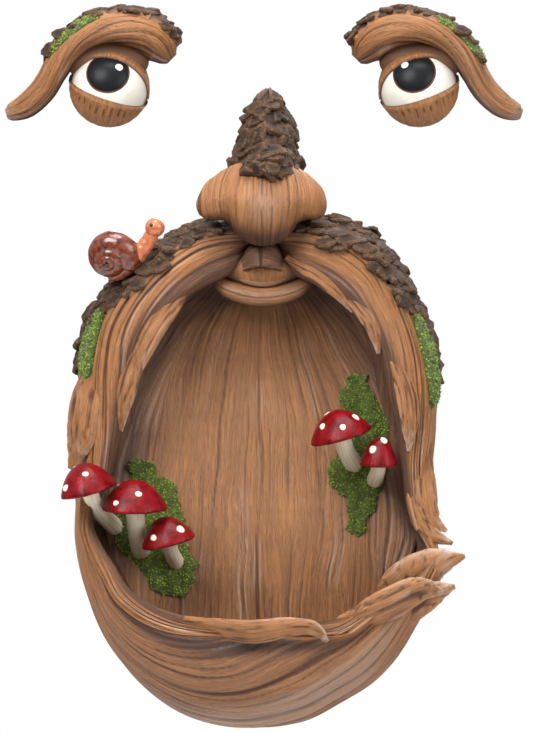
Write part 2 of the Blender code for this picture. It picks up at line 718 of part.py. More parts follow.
def pad(name, top, bottom, collection):
    """A closed pad between two equal grids of points."""
    bm = bmesh.new()
    grids = [[[bm.verts.new(p) for p in row] for row in grid] for grid in (top, bottom)]
    rows, columns = len(top), len(top[0])
    for grid in grids:
        for upper, lower in zip(grid, grid[1:]):
            for i in range(columns - 1):
                bm.faces.new((upper[i], upper[i + 1], lower[i + 1], lower[i]))
    places = [(0, c) for c in range(columns)] + [(r, columns - 1) for r in range(1, rows)]
    places += [(rows - 1, c) for c in range(columns - 2, -1, -1)]
    places += [(r, 0) for r in range(rows - 2, 0, -1)]
    for (r0, c0), (r1, c1) in zip(places, places[1:] + places[:1]):
        bm.faces.new((grids[0][r0][c0], grids[0][r1][c1], grids[1][r1][c1], grids[1][r0][c0]))
    return body_from(name, bm, collection)


def width_at(outline, up):
    """Where an outline's left and right sides lie at a height."""
    found = []
    for (x0, z0), (x1, z1) in zip(outline, outline[1:] + outline[:1]):
        if (z0 - up) * (z1 - up) <= 0 and z0 != z1:
            found.append(mix(x0, x1, (up - z0) / (z1 - z0)))
    return min(found), max(found)


def surface_of(obj):
    """A search tree of an object's own mesh."""
    bm = bmesh.new()
    bm.from_mesh(obj.data)
    tree = BVHTree.FromBMesh(bm)
    bm.free()
    return tree


def ground_at(tree, across, up):
    """How far forward the surface stands that a ray from the front meets first."""
    hit = tree.ray_cast(at(across, up, 2 * BOWL_FORWARD), Vector((0, 1, 0)))[0]
    return -hit.y / MM


def hollow_moss(name, outline, carrier, collection):
    """Moss that lies on the back of the hollow, under an outline seen from the front."""
    tree = surface_of(carrier)
    high, low = max(z for _, z in outline), min(z for _, z in outline)
    pick = random.Random(len(name) + 11)
    top, bottom = [], []
    for row in range(MOSS_STEPS + 1):
        up = mix(high - 0.5, low + 0.5, row / MOSS_STEPS)
        left, right = width_at(outline, up)
        top_row, bottom_row = [], []
        for column in range(5):
            across = mix(left, right, column / 4)
            ground = ground_at(tree, across, up)
            edge = column in (0, 4) or row in (0, MOSS_STEPS)
            thick = MOSS_THICKNESS * (0.45 if edge else pick.uniform(0.9, 1.3))
            top_row.append(at(across, up, ground + thick))
            bottom_row.append(at(across, up, ground - MOSS_ROOT))
        top.append(top_row)
        bottom.append(bottom_row)
    return pad(name, top, bottom, collection)


def arch_moss(name, patch, collection):
    """Moss that wraps the outer side of the arch."""
    first, last, low, high = patch
    pick = random.Random(len(name) + 5)
    top, bottom = [], []
    for row in range(6):
        angle = mix(first, last, row / 5)
        spread = math.sin(math.pi * (row + 0.6) / 6.2) ** 0.5
        top_row, bottom_row = [], []
        for column in range(5):
            share = mix(low, high, 0.5 + (column / 4 - 0.5) * spread)
            edge = column in (0, 4) or row in (0, 5)
            thick = MOSS_THICKNESS * (0.5 if edge else pick.uniform(0.9, 1.3))
            top_row.append(on_ring(angle, share, thick + FLUTE_DEPTH * 0.5))
            bottom_row.append(on_ring(angle, share, -MOSS_ROOT))
        top.append(top_row)
        bottom.append(bottom_row)
    return pad(name, top, bottom, collection)


def brow_moss(name, centre, mirror, first, last, sides, collection):
    """Moss on a brow, between two of its cuts and over some of its sides."""
    pick = random.Random(len(name) + 23)
    sections = brow_sections()[first : last + 1]
    top, bottom = [], []
    for i, (section, direction) in enumerate(sections):
        end = i in (0, len(sections) - 1)
        thick = [MOSS_THICKNESS * (0.5 if end else pick.uniform(0.6, 0.9)) for _ in range(BROW_SIDES)]
        over = brow_row(centre, mirror, section, direction, thick)
        under = brow_row(centre, mirror, section, direction, [-MOSS_ROOT] * BROW_SIDES)
        top.append([over[k] for k in sides])
        bottom.append([under[k] for k in sides])
    return pad(name, top, bottom, collection)


def toadstool(name, shape, carriers, parts, helpers):
    """A cap turned from its profile, on a bent stem whose foot is set on its carriers."""
    (across, up, forward), foot, cap_radius, cap_height, stem_radius, lean = shape
    profile = [
        (0.0, 1.0), (0.34, 0.94), (0.66, 0.66), (0.90, 0.28), (1.0, 0.02), (0.93, -0.04),
        (0.5, 0.04), (0.0, 0.06),
    ]  # fmt: skip
    mesh = bpy.data.meshes.new(name)
    points = [(r * cap_radius * MM, 0, h * cap_height * MM) for r, h in profile]
    mesh.from_pydata(points, [(i, i + 1) for i in range(len(points) - 1)], [])
    cap = linked(name, mesh, parts)
    screw = cap.modifiers.new("turn", "SCREW")
    screw.axis = "Z"
    screw.steps = screw.render_steps = CAP_STEPS
    screw.use_merge_vertices = True
    screw.merge_threshold = 0.00005
    turned = evaluated_mesh(cap)
    cap.modifiers.clear()
    cap.data = turned
    nod = Matrix.Rotation(math.radians(CAP_NOD), 4, "X")
    tip = Matrix.Rotation(math.radians(-lean), 4, "Y")
    cap.data.transform(Matrix.Translation(at(across, up, forward)) @ tip @ nod)
    ground = ground_at(surface_of(carriers[0]), foot[0], foot[1])
    top = (across, up + cap_height * 0.25, forward)
    bend = (mix(across, foot[0], 0.35), mix(up, foot[1], 0.5), mix(forward, ground, 0.42))
    stem = roll(name + "_stem", [top, bend, (foot[0], foot[1], ground - 3)], stem_radius, helpers)
    combined(cap, [stem], "UNION")
    return seated(cap, carriers, FORWARD, helpers)


def snail(carrier, parts, helpers):
    """A coiled shell seen from its side, on a body that stretches up to a round head."""
    rows = []
    turns, samples = 1.1, 15
    for i in range(samples):
        t = i / (samples - 1)
        turn = math.radians(-20) + 2 * math.pi * turns * t
        growth = math.exp(-0.8 * t)
        tube = SHELL_RADIUS * 0.54 * growth
        reach = (SHELL_RADIUS - tube * 0.98) * growth**0.9
        centre = Vector((math.cos(turn) * reach, 0, math.sin(turn) * reach))
        outwards = Vector((math.cos(turn), 0, math.sin(turn)))
        row = []
        for k in range(8):
            a = 2 * math.pi * k / 8
            offset = outwards * math.cos(a) * tube - Vector((0, 1, 0)) * math.sin(a) * tube
            row.append(at(*SHELL_AT) + (centre + offset) * MM)
        rows.append(row)
    shell = loft("shell", rows, parts)
    middle = ball("shell_middle", SHELL_AT, (9.5, 6.5, 9.5), helpers, segments=10, rings=6)
    neck = [(-84, -22, 30), (-72, -17, 36), (-62, -8, 40), (-57, -1, 43), HEAD_AT]
    body = roll("snail_body", neck, SNAIL_HEAD * 0.8, helpers)
    head = ball("snail_head", HEAD_AT, (SNAIL_HEAD,) * 3, helpers, segments=12, rings=6)
    combined(shell, [middle, body, head], "UNION")
    seated(shell, [carrier], Vector((-0.4, -0.8, 0.5)), helpers)
    shell.name = "snail"
    return shell


def collections():
    for old in list(bpy.data.objects):
        bpy.data.objects.remove(old)
    found = []
    for name in ("Tree face bird feeder", "Helpers"):
        made = bpy.data.collections.new(name)
        bpy.context.scene.collection.children.link(made)
        found.append(made)
    return found


def finish(obj, paint):
    obj.data.materials.clear()
    obj.data.materials.append(paint)


def main():
    parts, helpers = collections()
    wood = material("painted_resin", (0.46, 0.25, 0.12), 0.55)
    moss = material("moss", (0.13, 0.17, 0.02), 0.95)
    red = material("toadstool_paint", (0.55, 0.02, 0.03), 0.3)
    amber = material("snail_glaze", (0.30, 0.06, 0.03), 0.2)

    mouth = mouth_bowl(parts, helpers)
    left = eye("left_eye", LEFT_EYE_AT, 1, 5, parts, helpers)
    right = eye("right_eye", RIGHT_EYE_AT, -1, 9, parts, helpers)
    for casting in (mouth, left, right):
        finish(casting, wood)

    pads = {
        "moss_left_hollow": hollow_moss("moss_left_hollow", MOSS_LEFT_HOLLOW, mouth, parts),
        "moss_right_hollow": hollow_moss("moss_right_hollow", MOSS_RIGHT_HOLLOW, mouth, parts),
        "moss_left_arch": arch_moss("moss_left_arch", MOSS_LEFT_ARCH, parts),
        "moss_right_arch": arch_moss("moss_right_arch", MOSS_RIGHT_ARCH, parts),
    }
    facings = (FORWARD, FORWARD, Vector((-1, -0.3, 0.4)), Vector((1, -0.3, 0.4)))
    for made, facing in zip(pads.values(), facings):
        finish(seated(made, [mouth], facing, helpers), moss)
    brow_pads = (
        ("moss_left_brow", LEFT_EYE_AT, 1, left, 5, 10, (1, 2, 3), Vector((-0.4, -1, 0.3))),
        ("moss_right_brow", RIGHT_EYE_AT, -1, right, 5, 9, (0, 1, 2), Vector((0.7, -0.4, 0.6))),
    )
    for name, centre, mirror, carrier, first, last, sides, facing in brow_pads:
        made = brow_moss(name, centre, mirror, first, last, sides, parts)
        finish(seated(made, [carrier], facing, helpers), moss)

    for name, shape in TOADSTOOLS.items():
        under = pads["moss_left_hollow" if "left" in name else "moss_right_hollow"]
        finish(toadstool(name, shape, [mouth, under], parts, helpers), red)
    finish(snail(mouth, parts, helpers), amber)


main()
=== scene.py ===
"""Dresses a tree face bird feeder: carved and painted castings with bark, moss, toadstools and a
snail. Shapes are drawn in millimetres as (across, up, forward) and made in metres."""

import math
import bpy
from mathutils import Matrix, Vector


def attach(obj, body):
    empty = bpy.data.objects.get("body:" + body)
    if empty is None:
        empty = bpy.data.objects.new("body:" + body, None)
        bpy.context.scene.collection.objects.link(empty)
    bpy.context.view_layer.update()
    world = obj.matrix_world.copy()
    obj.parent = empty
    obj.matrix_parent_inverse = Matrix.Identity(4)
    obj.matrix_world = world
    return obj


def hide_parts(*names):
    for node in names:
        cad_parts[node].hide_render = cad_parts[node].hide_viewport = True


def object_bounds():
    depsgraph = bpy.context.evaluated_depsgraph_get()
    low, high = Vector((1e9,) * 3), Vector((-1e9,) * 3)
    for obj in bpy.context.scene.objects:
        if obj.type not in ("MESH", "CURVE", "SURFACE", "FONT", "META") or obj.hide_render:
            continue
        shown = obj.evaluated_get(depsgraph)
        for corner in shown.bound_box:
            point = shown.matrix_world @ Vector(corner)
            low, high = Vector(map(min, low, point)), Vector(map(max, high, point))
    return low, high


bl_info = {
    "name": "Tree Face Bird Feeder",
    "version": (1, 0, 0),
    "blender": (4, 5, 0),
    "location": "3D View > Sidebar > Tree Face",
    "description": "Builds the carved, painted look of a tree face that hangs on a trunk",
    "category": "Object",
}

import bmesh
import bpy
import numpy as np
from bpy.props import FloatProperty, FloatVectorProperty, IntProperty, PointerProperty
from mathutils import Matrix, Vector
from mathutils.bvhtree import BVHTree

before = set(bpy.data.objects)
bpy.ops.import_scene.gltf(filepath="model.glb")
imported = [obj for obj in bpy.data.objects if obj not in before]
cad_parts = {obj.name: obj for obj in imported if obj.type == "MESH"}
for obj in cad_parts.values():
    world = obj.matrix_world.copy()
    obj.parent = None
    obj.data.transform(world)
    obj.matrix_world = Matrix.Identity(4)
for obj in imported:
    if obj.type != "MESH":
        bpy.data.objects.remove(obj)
CAD_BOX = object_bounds()

MM = 0.001

# The castings' forms, in millimetres, as the solids have them.
ARCH_FORWARD = 46.0
BOWL_FORWARD = 98.0
RIM_THICKNESS = 9.0
BOWL_WALL = 9.0
BACK_WALL = 10.0
ARCH_WIDEST = 14.0
ARCH_POCKET = 22.0
ARCH_UNDERCUT = 4.0
BOWL_POCKET = 48.0
ARCH_BACK_TUCK = 3.0
BOWL_BACK_TUCK = 16.0
CREST_ROLL = 1.7
BEHIND_WALL = -5.0
LIP_HEIGHT = -6.0
FAN_SPREAD = ((20, 30, 45, 65, 90, 120, 150, 185, 240), (22, 32, 47, 60, 70, 77, 80, 80, 92))
DISH_SIDES = 9.0
DISH_TOP = 14.0
DISH_FOOT = 6.0
HOLE_RADIUS = 4.5
HOLE_DEPTH = 8.0
SLOT_RADIUS = 2.0
SLOT_RISE = 7.0
MOUTH_HOLE_HEIGHT = 18.0
EYE_HOLE_HEIGHT = 6.0
EYE_RADIUS = 20.5
EYE_FORWARD = 8.0
EYE_TILT = 18.7
UPPER_LID = 43.0
LOWER_LID = -22.0
LEFT_EYE_AT = (-77.5, 78.0)
RIGHT_EYE_AT = (79.0, 78.0)
MOUTH = (0.0, -110.0)
BREAK = 115.0  # degrees from the top, on the right, where the arch's strands end over the bowl's
BALL_RADIUS = 19.4
LID_THICKNESS = 2.6
LID_TICKS = 17

# The picture: where the camera looks, in metres, and the height it shows at the castings' backs.
AIM = (0.002, -0.0635)
VIEW_HEIGHT = 0.372

# Strands as carve takes them: widths and depths of three sizes of strand, and a length.
RING_CARVING = ((9.5, 4.3, 2.6), (1.15, 0.6, 0.22), 75)
BOARD_CARVING = ((7.4, 3.2, 1.6), (1.2, 0.75, 0.25), 60)
STRAND_CARVING = ((6, 2.9, 1.4), (0.9, 0.55, 0.2), 60)
NOSE_CARVING = ((3.9, 2.2, 1.3), (0.34, 0.28, 0.1), 46)
BROW_CARVING = ((6.5, 2.7, 1.1), (1.15, 0.6, 0.2), 52)
LID_CARVING = ((5, 2.2, 1.0), (0.22, 0.12, 0.06), 30)

# Swellings of the ring: height, degrees from the top, and width in degrees.
ARCH_ROLL = (4.2, 24, 14)
OUTER_PARTING = (5.0, 0, 4.5)
INNER_PARTING = (14.0, 0, 6.5)
BOWL_BELLY = (2.6, 145, 26)
NOSE_SHADE = (0.8, 0, 14)

# Paints that no setting changes.
SPLIT_PAINT = (0.035, 0.006, 0.008, 1)
STEM_LINE_AND_SHADE_PAINT = (0.30, 0.19, 0.10, 1)
SEAM_SHADE_PAINT = (0.012, 0.005, 0.004, 1)
SKIN_SHADE_PAINT = (0.34, 0.08, 0.03, 1)
SNAIL_EYE_PAINT = (0.006, 0.006, 0.006, 1)
IRIS_RING_PAINT = (0.16, 0.055, 0.03, 1)
FLOOR_PAINT = (0.7, 0.7, 0.7, 1)

# The mouth casting's outer edge and its opening from the front, as (across, up).
OUTLINE = [
    (0, 13), (-31, 9), (-48, 0), (-71, -17), (-85, -34), (-91, -52), (-93, -80), (-94, -105),
    (-94, -130), (-94, -150), (-88, -175), (-76, -200), (-56, -222), (-31, -238), (-6, -244),
    (19, -241), (39, -231), (53, -222), (64, -211), (76, -193), (84, -180), (89, -165), (88, -150),
    (85, -135), (86, -115), (88, -90), (89, -70), (86, -52), (79, -34), (70, -17), (58, 0), (40, 9),
]
OPENING = [
    (0, -14), (-12, -17), (-24, -21), (-38, -28), (-48, -37), (-55, -46), (-61, -58), (-65, -73),
    (-70, -94), (-75, -115), (-83, -130), (-84, -145), (-80, -153), (-74, -162), (-67, -173),
    (-56, -181), (-40, -187), (-28, -189), (-12, -190), (4, -189), (23, -190), (41, -187),
    (51, -181), (60, -174), (68, -171), (76, -168), (82, -160), (80, -152), (76, -145), (71, -127),
    (68, -107), (64, -81), (58, -57), (51, -43), (36, -27), (13, -18),
]
# Angle round the mouth, and how far the crest has gone there from the arch's to the bowl's.
CREST_SHARE = [
    (90, -0.10), (60, 0.0), (0, 0.0), (-18, 0.0), (-27, 0.16), (-36, 0.30), (-45, 0.48),
    (-58, 0.74), (-72, 0.93), (-90, 1.0), (-105, 0.96), (-120, 0.80), (-135, 0.55), (-150, 0.30),
    (-163, 0.10), (180, 0.0), (150, 0.0),
]

# Bark on the arch: angles round the mouth, and how far over the section it reaches at each.
ARCH_BARK = (
    ((100, 5.0), (112, 5.2), (128, 5.2), (137, 4.2), (144, 3.0), (157, 2.4)),
    ((21, 2.2), (30, 2.8), (42, 3.6), (50, 5.0), (58, 5.5), (70, 5.4), (81, 5.0)),
)

# Strands that end free, as (across, up, forward, half width) to the tip.
STRANDS = {
    "left_end": [(-82, -56, 28, 3), (-86, -78, 37, 9), (-90, -100, 41, 8), (-96, -115, 42, 1.5)],
    "left_tip_upper": [(-32, -18, 36, 2), (-50, -40, 42, 6), (-60, -58, 43, 5), (-66, -74, 41, 1.2)],
    "left_tip_lower": [(-54, -40, 38, 2), (-64, -64, 42, 6), (-69, -82, 43, 5), (-71, -96, 40, 1.2)],
    "right_tip_upper": [(12, -9, 38, 2), (27, -18, 43, 5), (38, -27, 44, 4), (45, -36, 42, 1.0)],
    "right_tip_middle": [(30, -14, 38, 2), (47, -32, 43, 5), (55, -45, 44, 4), (58, -57, 42, 1.0)],
    "right_tip_lower": [(64, -54, 40, 2), (71, -76, 45, 6), (73, -92, 47, 5), (73, -106, 46, 1.0)],
    "right_end_upper": [(82, -102, 30, 3), (80, -124, 40, 7), (84, -139, 45, 5), (92, -146, 46, 1.0)],
    "right_end_lower": [(76, -112, 30, 2), (77, -132, 41, 6), (83, -146, 46, 5), (95, -152, 48, 1.0)],
    "leaf_back_upper": [
        (58, -188, 32, 3), (70, -172, 43, 13), (84, -162, 50, 10), (101, -158, 52, 1.2),
    ],
    "leaf_back_lower": [(56, -200, 44, 3), (72, -183, 53, 9), (85, -176, 55, 7), (96, -173, 55, 1.2)],
    "leaf_front": [(34, -193, 82, 4), (60, -181, 77, 9), (77, -174, 67, 7), (90, -176, 59, 1.2)],
    "rim_curl": [
        (-38, -189, 86, 3), (-8, -193, 98, 6.5), (12, -191, 100, 5.5), (25, -192, 98, 4),
        (32, -199, 94, 1.0),
    ],
}
STRAND_THICKNESS = 0.6
STRAND_LIFT = 0.45

# The nose: its outline from the front, its middle, and how far it bulges forward and back.
NOSE_OUTLINE = [
    (32.4, 17), (31, 24), (27, 29.5), (23, 33), (14, 38), (0, 40), (-14, 38), (-23, 33), (-27.5, 29.5),
    (-31.5, 24), (-33.4, 17.5), (-32, 12.5), (-27.5, 10), (-22, 9), (-17.7, 7), (-13, 2.2), (-6.5, -2),
    (0.5, -3.4), (7.5, -2), (13.7, 2.2), (18, 7), (23, 9), (28, 10), (31.3, 12.8),
]
NOSE_CENTRE = (0.5, 18, 40)
NOSE_OVAL = (31, 22)
NOSE_BULGE = 27.5
NOSE_BACK = 28.0
BARK_DEPTH = 1.2
BRIDGE = [
    (2, 0, 18, 34), (14, 0, 20, 44), (26, 0.5, 20, 60), (31, 1.0, 20.3, 64.3), (38, 1.5, 17.4, 61),
    (46, 1.5, 15.6, 51), (54, 2.0, 13.8, 44), (62, 2.3, 11.5, 36), (69, 2.6, 9.0, 29),
    (74, 3.0, 5.6, 22), (76, 3.2, 2, 14),
]
LOWER_LIP = ([(-25, -19, 27), (-15, -25.5, 31), (0, -28.5, 33), (15, -25.5, 31), (25, -19, 27)], 4.6)
UPPER_LIP = ([(-16, -16, 31), (-8, -20.5, 34.5), (0, -22, 35.2), (8, -20.5, 34.5), (16, -16, 31)], 1.3)
LIP_BED = ((0, -13.5, 25), (21, 12, 14.5))

# Left brow from its outer tip, about the eyeball's centre: (across, up, half width, forward).
BROW = [
    (-52.5, -13.5, 2.5, 6), (-49.5, -12.5, 4.8, 10), (-42, -9, 6.5, 14), (-34, -1.5, 7, 18),
    (-28, 8, 7, 22), (-22, 17, 7.5, 25), (-13, 24.5, 8, 28), (-1, 29, 9.3, 30), (11, 29, 10.3, 30),
    (20, 25.5, 10.5, 27), (26, 20.5, 9.5, 22), (29.5, 16.5, 6.5, 16), (31.5, 14.5, 3.2, 10),
]
# The bed behind an eyeball: its middle and radii. The plate behind both ends this far forward.
SOCKET = ((-1, 13, 9), (21, 12.5, 11))
EYE_PLATE = 9.0
IRIS_AT = {"left": (-0.5, 7.5), "right": (-3.0, 7.6)}
GLINT_AT = {"left": (5.3, 9.2), "right": (-7.3, 10.4)}

MOSS_LEFT_HOLLOW = [
    (-67, -110), (-56, -112), (-50, -122), (-46, -120), (-42, -136), (-38, -152), (-33, -166),
    (-38, -180), (-52, -178), (-62, -168), (-72, -156), (-80, -144), (-76, -134), (-66, -126),
]
MOSS_RIGHT_HOLLOW = [
    (43, -68), (51, -67), (56, -80), (64, -92), (66, -108), (62, -122), (56, -136), (49, -150),
    (42, -146), (43, -132), (33, -122), (34, -112), (44, -98), (40, -82),
]
MOSS_LEFT_ARCH = (137, 161, 0.23, 0.36)
MOSS_RIGHT_ARCH = (17, 44, 0.23, 0.36)
ARCH_MOSS_LIFT = 1.6
HOLLOW_MOSS_DEPTH = 2.6
ARCH_MOSS_DEPTH = 2.5
BROW_MOSS_DEPTH = 2.2
MOSS_ROOT = 2.4

# Toadstools: cap middle, foot, cap radius, cap height, stem radius, lean in degrees, and where
# white dots show from the front.
TOADSTOOLS = {
    "toadstool_left_outer": (
        (-87, -125, 56), (-74, -145), 14.3, 13.5, 3.4, 15, [(-88, -117), (-98, -124)],
    ),
    "toadstool_left_middle": (
        (-64, -134, 49), (-61.5, -157), 16.5, 14, 3.8, 0, [(-61.7, -127), (-73, -131.5)],
    ),
    "toadstool_left_inner": (
        (-47, -151, 44), (-43.5, -163), 13.5, 12.5, 3.2, 14, [(-54.4, -149), (-40.9, -144.8)],
    ),
    "toadstool_right_large": (
        (39.5, -98, 40), (46.5, -113.5), 15.6, 13, 3.7, 16,
        [(29.9, -93.5), (40.1, -93.8), (46.6, -88.9)],
    ),
    "toadstool_right_small": (
        (58.5, -112, 42), (56.5, -121.5), 9.6, 13, 3.2, 0, [(55.1, -105), (60.8, -100.5)],
    ),
}
CAP_NOD = 8.0
PLATES_FROM_BACK = 5.0
BRIDGE_PLATES_TOP = 71.0

SHELL_AT = (-75.5, -8.0, 39)
SHELL_AXIS = (-0.27, -0.84, -0.42)
SHELL_MOUTH = 150.0  # degrees round the axis
SHELL_TUBE = 8.3
SHELL_REACH = 8.2
SHELL_RISE = 12.0
HEAD_AT = (-53.8, 6.0, 46)
SNAIL_BODY = [
    (-76, -18, 26, 2.4), (-72, -16.5, 33, 3.8), (-66, -12, 38, 4.6), (-61, -6, 42, 4.4),
    (-57, -0.5, 44, 3.8), (*HEAD_AT, 3.4),
]


# Small sums


def mix(a, b, share):
    return a + (b - a) * share


def smooth(low, high, value):
    """0 below low, 1 above high, and a soft step between."""
    t = np.clip((value - low) / (high - low), 0, 1)
    return t * t * (3 - 2 * t)


def fall(low, high, value):
    """1 below low, 0 above high, and a soft step between."""
    return 1 - smooth(low, high, value)


def bell(value, centre, width):
    """1 at the centre, and nearly 0 beyond two widths of it."""
    return np.exp(-(((value - centre) / width) ** 2))


def unit(vectors):
    return vectors / np.linalg.norm(vectors, axis=-1, keepdims=True)


def stacked(*parts):
    """Arrays that fit together, side by side along a last axis."""
    return np.stack(np.broadcast_arrays(*parts), -1)


def full_turn(count):
    """Angles once round, in radians, in one row."""
    return np.linspace(0, 2 * math.pi, count, endpoint=False)[None, :]


def at(across, up, forward):
    """Drawn points in metres."""
    across, up, forward = np.broadcast_arrays(across, up, forward)
    return np.stack([across * MM, -forward * MM, up * MM], -1).astype(float)


def hermite(knots, values, tangents, x):
    i = np.clip(np.searchsorted(knots, x, side="right") - 1, 0, len(knots) - 2)
    step = knots[i + 1] - knots[i]
    t = (x - knots[i]) / step
    a = values[..., i] * (2 * t**3 - 3 * t**2 + 1) + values[..., i + 1] * (3 * t**2 - 2 * t**3)
    b = tangents[..., i] * (t**3 - 2 * t**2 + t) + tangents[..., i + 1] * (t**3 - t**2)
    return a + step * b


def round_the_mouth(points):
    """A smooth function of the angle round the mouth, in degrees, that never overshoots."""
    points = sorted((angle % 360, value) for angle, value in points)
    turns = [(a - 360, v) for a, v in points] + points + [(a + 360, v) for a, v in points]
    knots = np.array([a for a, _ in turns], float)
    values = np.array([v for _, v in turns], float)
    slopes = np.diff(values) / np.diff(knots)
    tangents = np.zeros(len(values))
    for i in range(1, len(values) - 1):
        if slopes[i - 1] * slopes[i] > 0:
            tangents[i] = 2 * slopes[i - 1] * slopes[i] / (slopes[i - 1] + slopes[i])
    return lambda angle: hermite(knots, values, tangents, np.asarray(angle) % 360)


def outline_radius(outline, centre=MOUTH):
    polar = []
    for across, up in outline:
        dx, dz = across - centre[0], up - centre[1]
        polar.append((math.degrees(math.atan2(dz, dx)), math.hypot(dx, dz)))
    return round_the_mouth(polar)


outer_radius = outline_radius(OUTLINE)
opening_radius = outline_radius(OPENING)
nose_radius = outline_radius(NOSE_OUTLINE, NOSE_CENTRE)
crest_share = round_the_mouth(CREST_SHARE)


def through(points, samples):
    """Rows of numbers spread evenly along a smooth line through the given rows."""
    points = np.array(points, float)
    knots = np.arange(len(points), dtype=float)
    values = points.T
    places = np.linspace(0, len(points) - 1, samples)
    return hermite(knots, values, np.gradient(values, axis=1), places).T


def noise(x, y, seed):
    """Smooth noise from -1 to 1, with one bump to each unit of x and y."""
    table = np.random.default_rng(seed).uniform(-1, 1, (64, 64))
    x, y = np.broadcast_arrays(np.asarray(x, float), np.asarray(y, float))
    i, j = np.floor(x).astype(int), np.floor(y).astype(int)
    u, v = x - i, y - j
    u, v = u * u * (3 - 2 * u), v * v * (3 - 2 * v)
    near = mix(table[i % 64, j % 64], table[(i + 1) % 64, j % 64], u)
    far = mix(table[i % 64, (j + 1) % 64], table[(i + 1) % 64, (j + 1) % 64], u)
    return mix(near, far, v)


def cells(x, y, seed):
    """For each point: its cell's own number from 0 to 1, how far it is from the cell's border, and
    its place up the cell. A cell is about one unit across."""
    pick = np.random.default_rng(seed)
    jitter = pick.uniform(0.1, 0.9, (64, 64, 2))
    marks = pick.uniform(0, 1, (64, 64))
    i, j = np.floor(x).astype(int), np.floor(y).astype(int)
    nearest = np.full(x.shape, 9.0)
    second = np.full(x.shape, 9.0)
    mark, rise = np.zeros(x.shape), np.zeros(x.shape)
    for di in (-1, 0, 1):
        for dj in (-1, 0, 1):
            ci, cj = (i + di) % 64, (j + dj) % 64
            dx = x - (i + di + jitter[ci, cj, 0])
            dy = y - (j + dj + jitter[ci, cj, 1])
            away = np.hypot(dx, dy)
            closer = away < nearest
            second = np.where(closer, nearest, np.minimum(second, away))
            mark = np.where(closer, marks[ci, cj], mark)
            rise = np.where(closer, dy, rise)
            nearest = np.where(closer, away, nearest)
    return mark, second - nearest, rise


# Carving


def grooves(across, along, width, length, seed, sharp):
    """Cuts between strands of about that width that run along: how deep, and a mask of the
    strands' shoulders beside the cuts, both from 0 to 1."""
    v = across / width
    v = v + 0.4 * noise(along / length, across / (3.2 * width), seed)
    v = v + 0.3 * noise(v * 0.6, 0.5, seed + 1)
    edge = np.round(v)
    gap = np.abs(v - edge) * 2
    depth = np.clip(0.7 + 0.6 * noise(along / length, edge * 7.31, seed + 2), 0.12, 1)
    shoulder = bell(gap, 0.36, 0.12) * depth
    return depth * (1 - gap) ** sharp, shoulder


def carve(across, along, widths, depths, length, seed):
    """Height in millimetres and the masks of cuts and shoulders, for three sizes of strand."""
    coarse, edge = grooves(across, along, widths[0], length, seed, 2.4)
    middle, line = grooves(across, along, widths[1], length * 0.6, seed + 10, 2.0)
    fine, _ = grooves(across, along, widths[2], length * 0.35, seed + 20, 1.6)
    height = -(depths[0] * coarse + depths[1] * middle + depths[2] * fine)
    cut = np.clip(1.05 * coarse**1.5 + 1.0 * middle**1.4 + 0.6 * fine**1.4, 0, 1)
    patches = smooth(0.1, 0.75, noise(along / (0.45 * length), across / (1.2 * widths[0]), seed + 30))
    rub = np.clip(edge + 0.5 * line, 0, 1) * patches * (1 - cut)
    return height, cut, rub


def bark_relief(x, y, seed):
    """Plates of bark in millimetres over x and y: height, and a mask of the cracks."""
    x = x + 1.6 * noise(x / 5, y / 5, seed + 3)
    y = y + 1.6 * noise(x / 5, y / 5, seed + 4)
    mark, border, rise = cells(x / 7.5, y / 6.0, seed)
    small, small_border, _ = cells(x / 2.6, y / 2.2, seed + 1)
    height = 0.6 + 2.4 * mark - 1.3 * rise - 1.6 * fall(0.0, 0.22, border)
    height = height + 0.5 * small - 0.35 * fall(0, 0.3, small_border)
    height = height + 0.35 * noise(x / 0.9, y / 0.9, seed + 5)
    cracks = 1.1 * fall(0.02, 0.3, border) + 0.4 * fall(0, 0.3, small_border)
    return height, np.clip(cracks, 0, 1)


# Shells


def surface_normals(grid, wrap_rows, wrap_columns):
    """Unit normals of a grid of points."""
    def slope(axis, wrap):
        if wrap:
            return np.roll(grid, -1, axis) - np.roll(grid, 1, axis)
        return np.gradient(grid, axis=axis)

    found = np.cross(slope(0, wrap_rows), slope(1, wrap_columns))
    length = np.linalg.norm(found, axis=2, keepdims=True)
    return found / np.maximum(length, 1e-12)


def grid_quads(rows, columns, wrap_rows):
    """Corner numbers of the faces of a grid that closes round its columns."""
    index = np.arange(rows * columns).reshape(rows, columns)
    here, down = (index, np.roll(index, -1, 0)) if wrap_rows else (index[:-1], index[1:])
    return np.stack([here, down, np.roll(down, -1, 1), np.roll(here, -1, 1)], -1).reshape(-1, 4)


def is_inside_out(points, quads):
    points = points - points.mean(0)
    a, b, c, d = (points[quads[:, k]] for k in range(4))
    volume = np.einsum("ij,ij->", a, np.cross(b, c)) + np.einsum("ij,ij->", a, np.cross(c, d))
    return volume < 0


def outward(grid, wrap_rows=False):
    """Normals that point out of the closed surface that a grid makes."""
    quads = grid_quads(*grid.shape[:2], wrap_rows)
    side = -1 if is_inside_out(grid.reshape(-1, 3), quads) else 1
    return surface_normals(grid, wrap_rows, True) * side


def carved(grid, height, wrap_rows=False, gap=0.0):
    """The grid raised along its normals by a height in millimetres, at least a gap off the wall."""
    grid = grid + outward(grid, wrap_rows) * (height * MM)[..., None]
    grid[..., 1] = np.minimum(grid[..., 1], -gap * MM)
    return grid


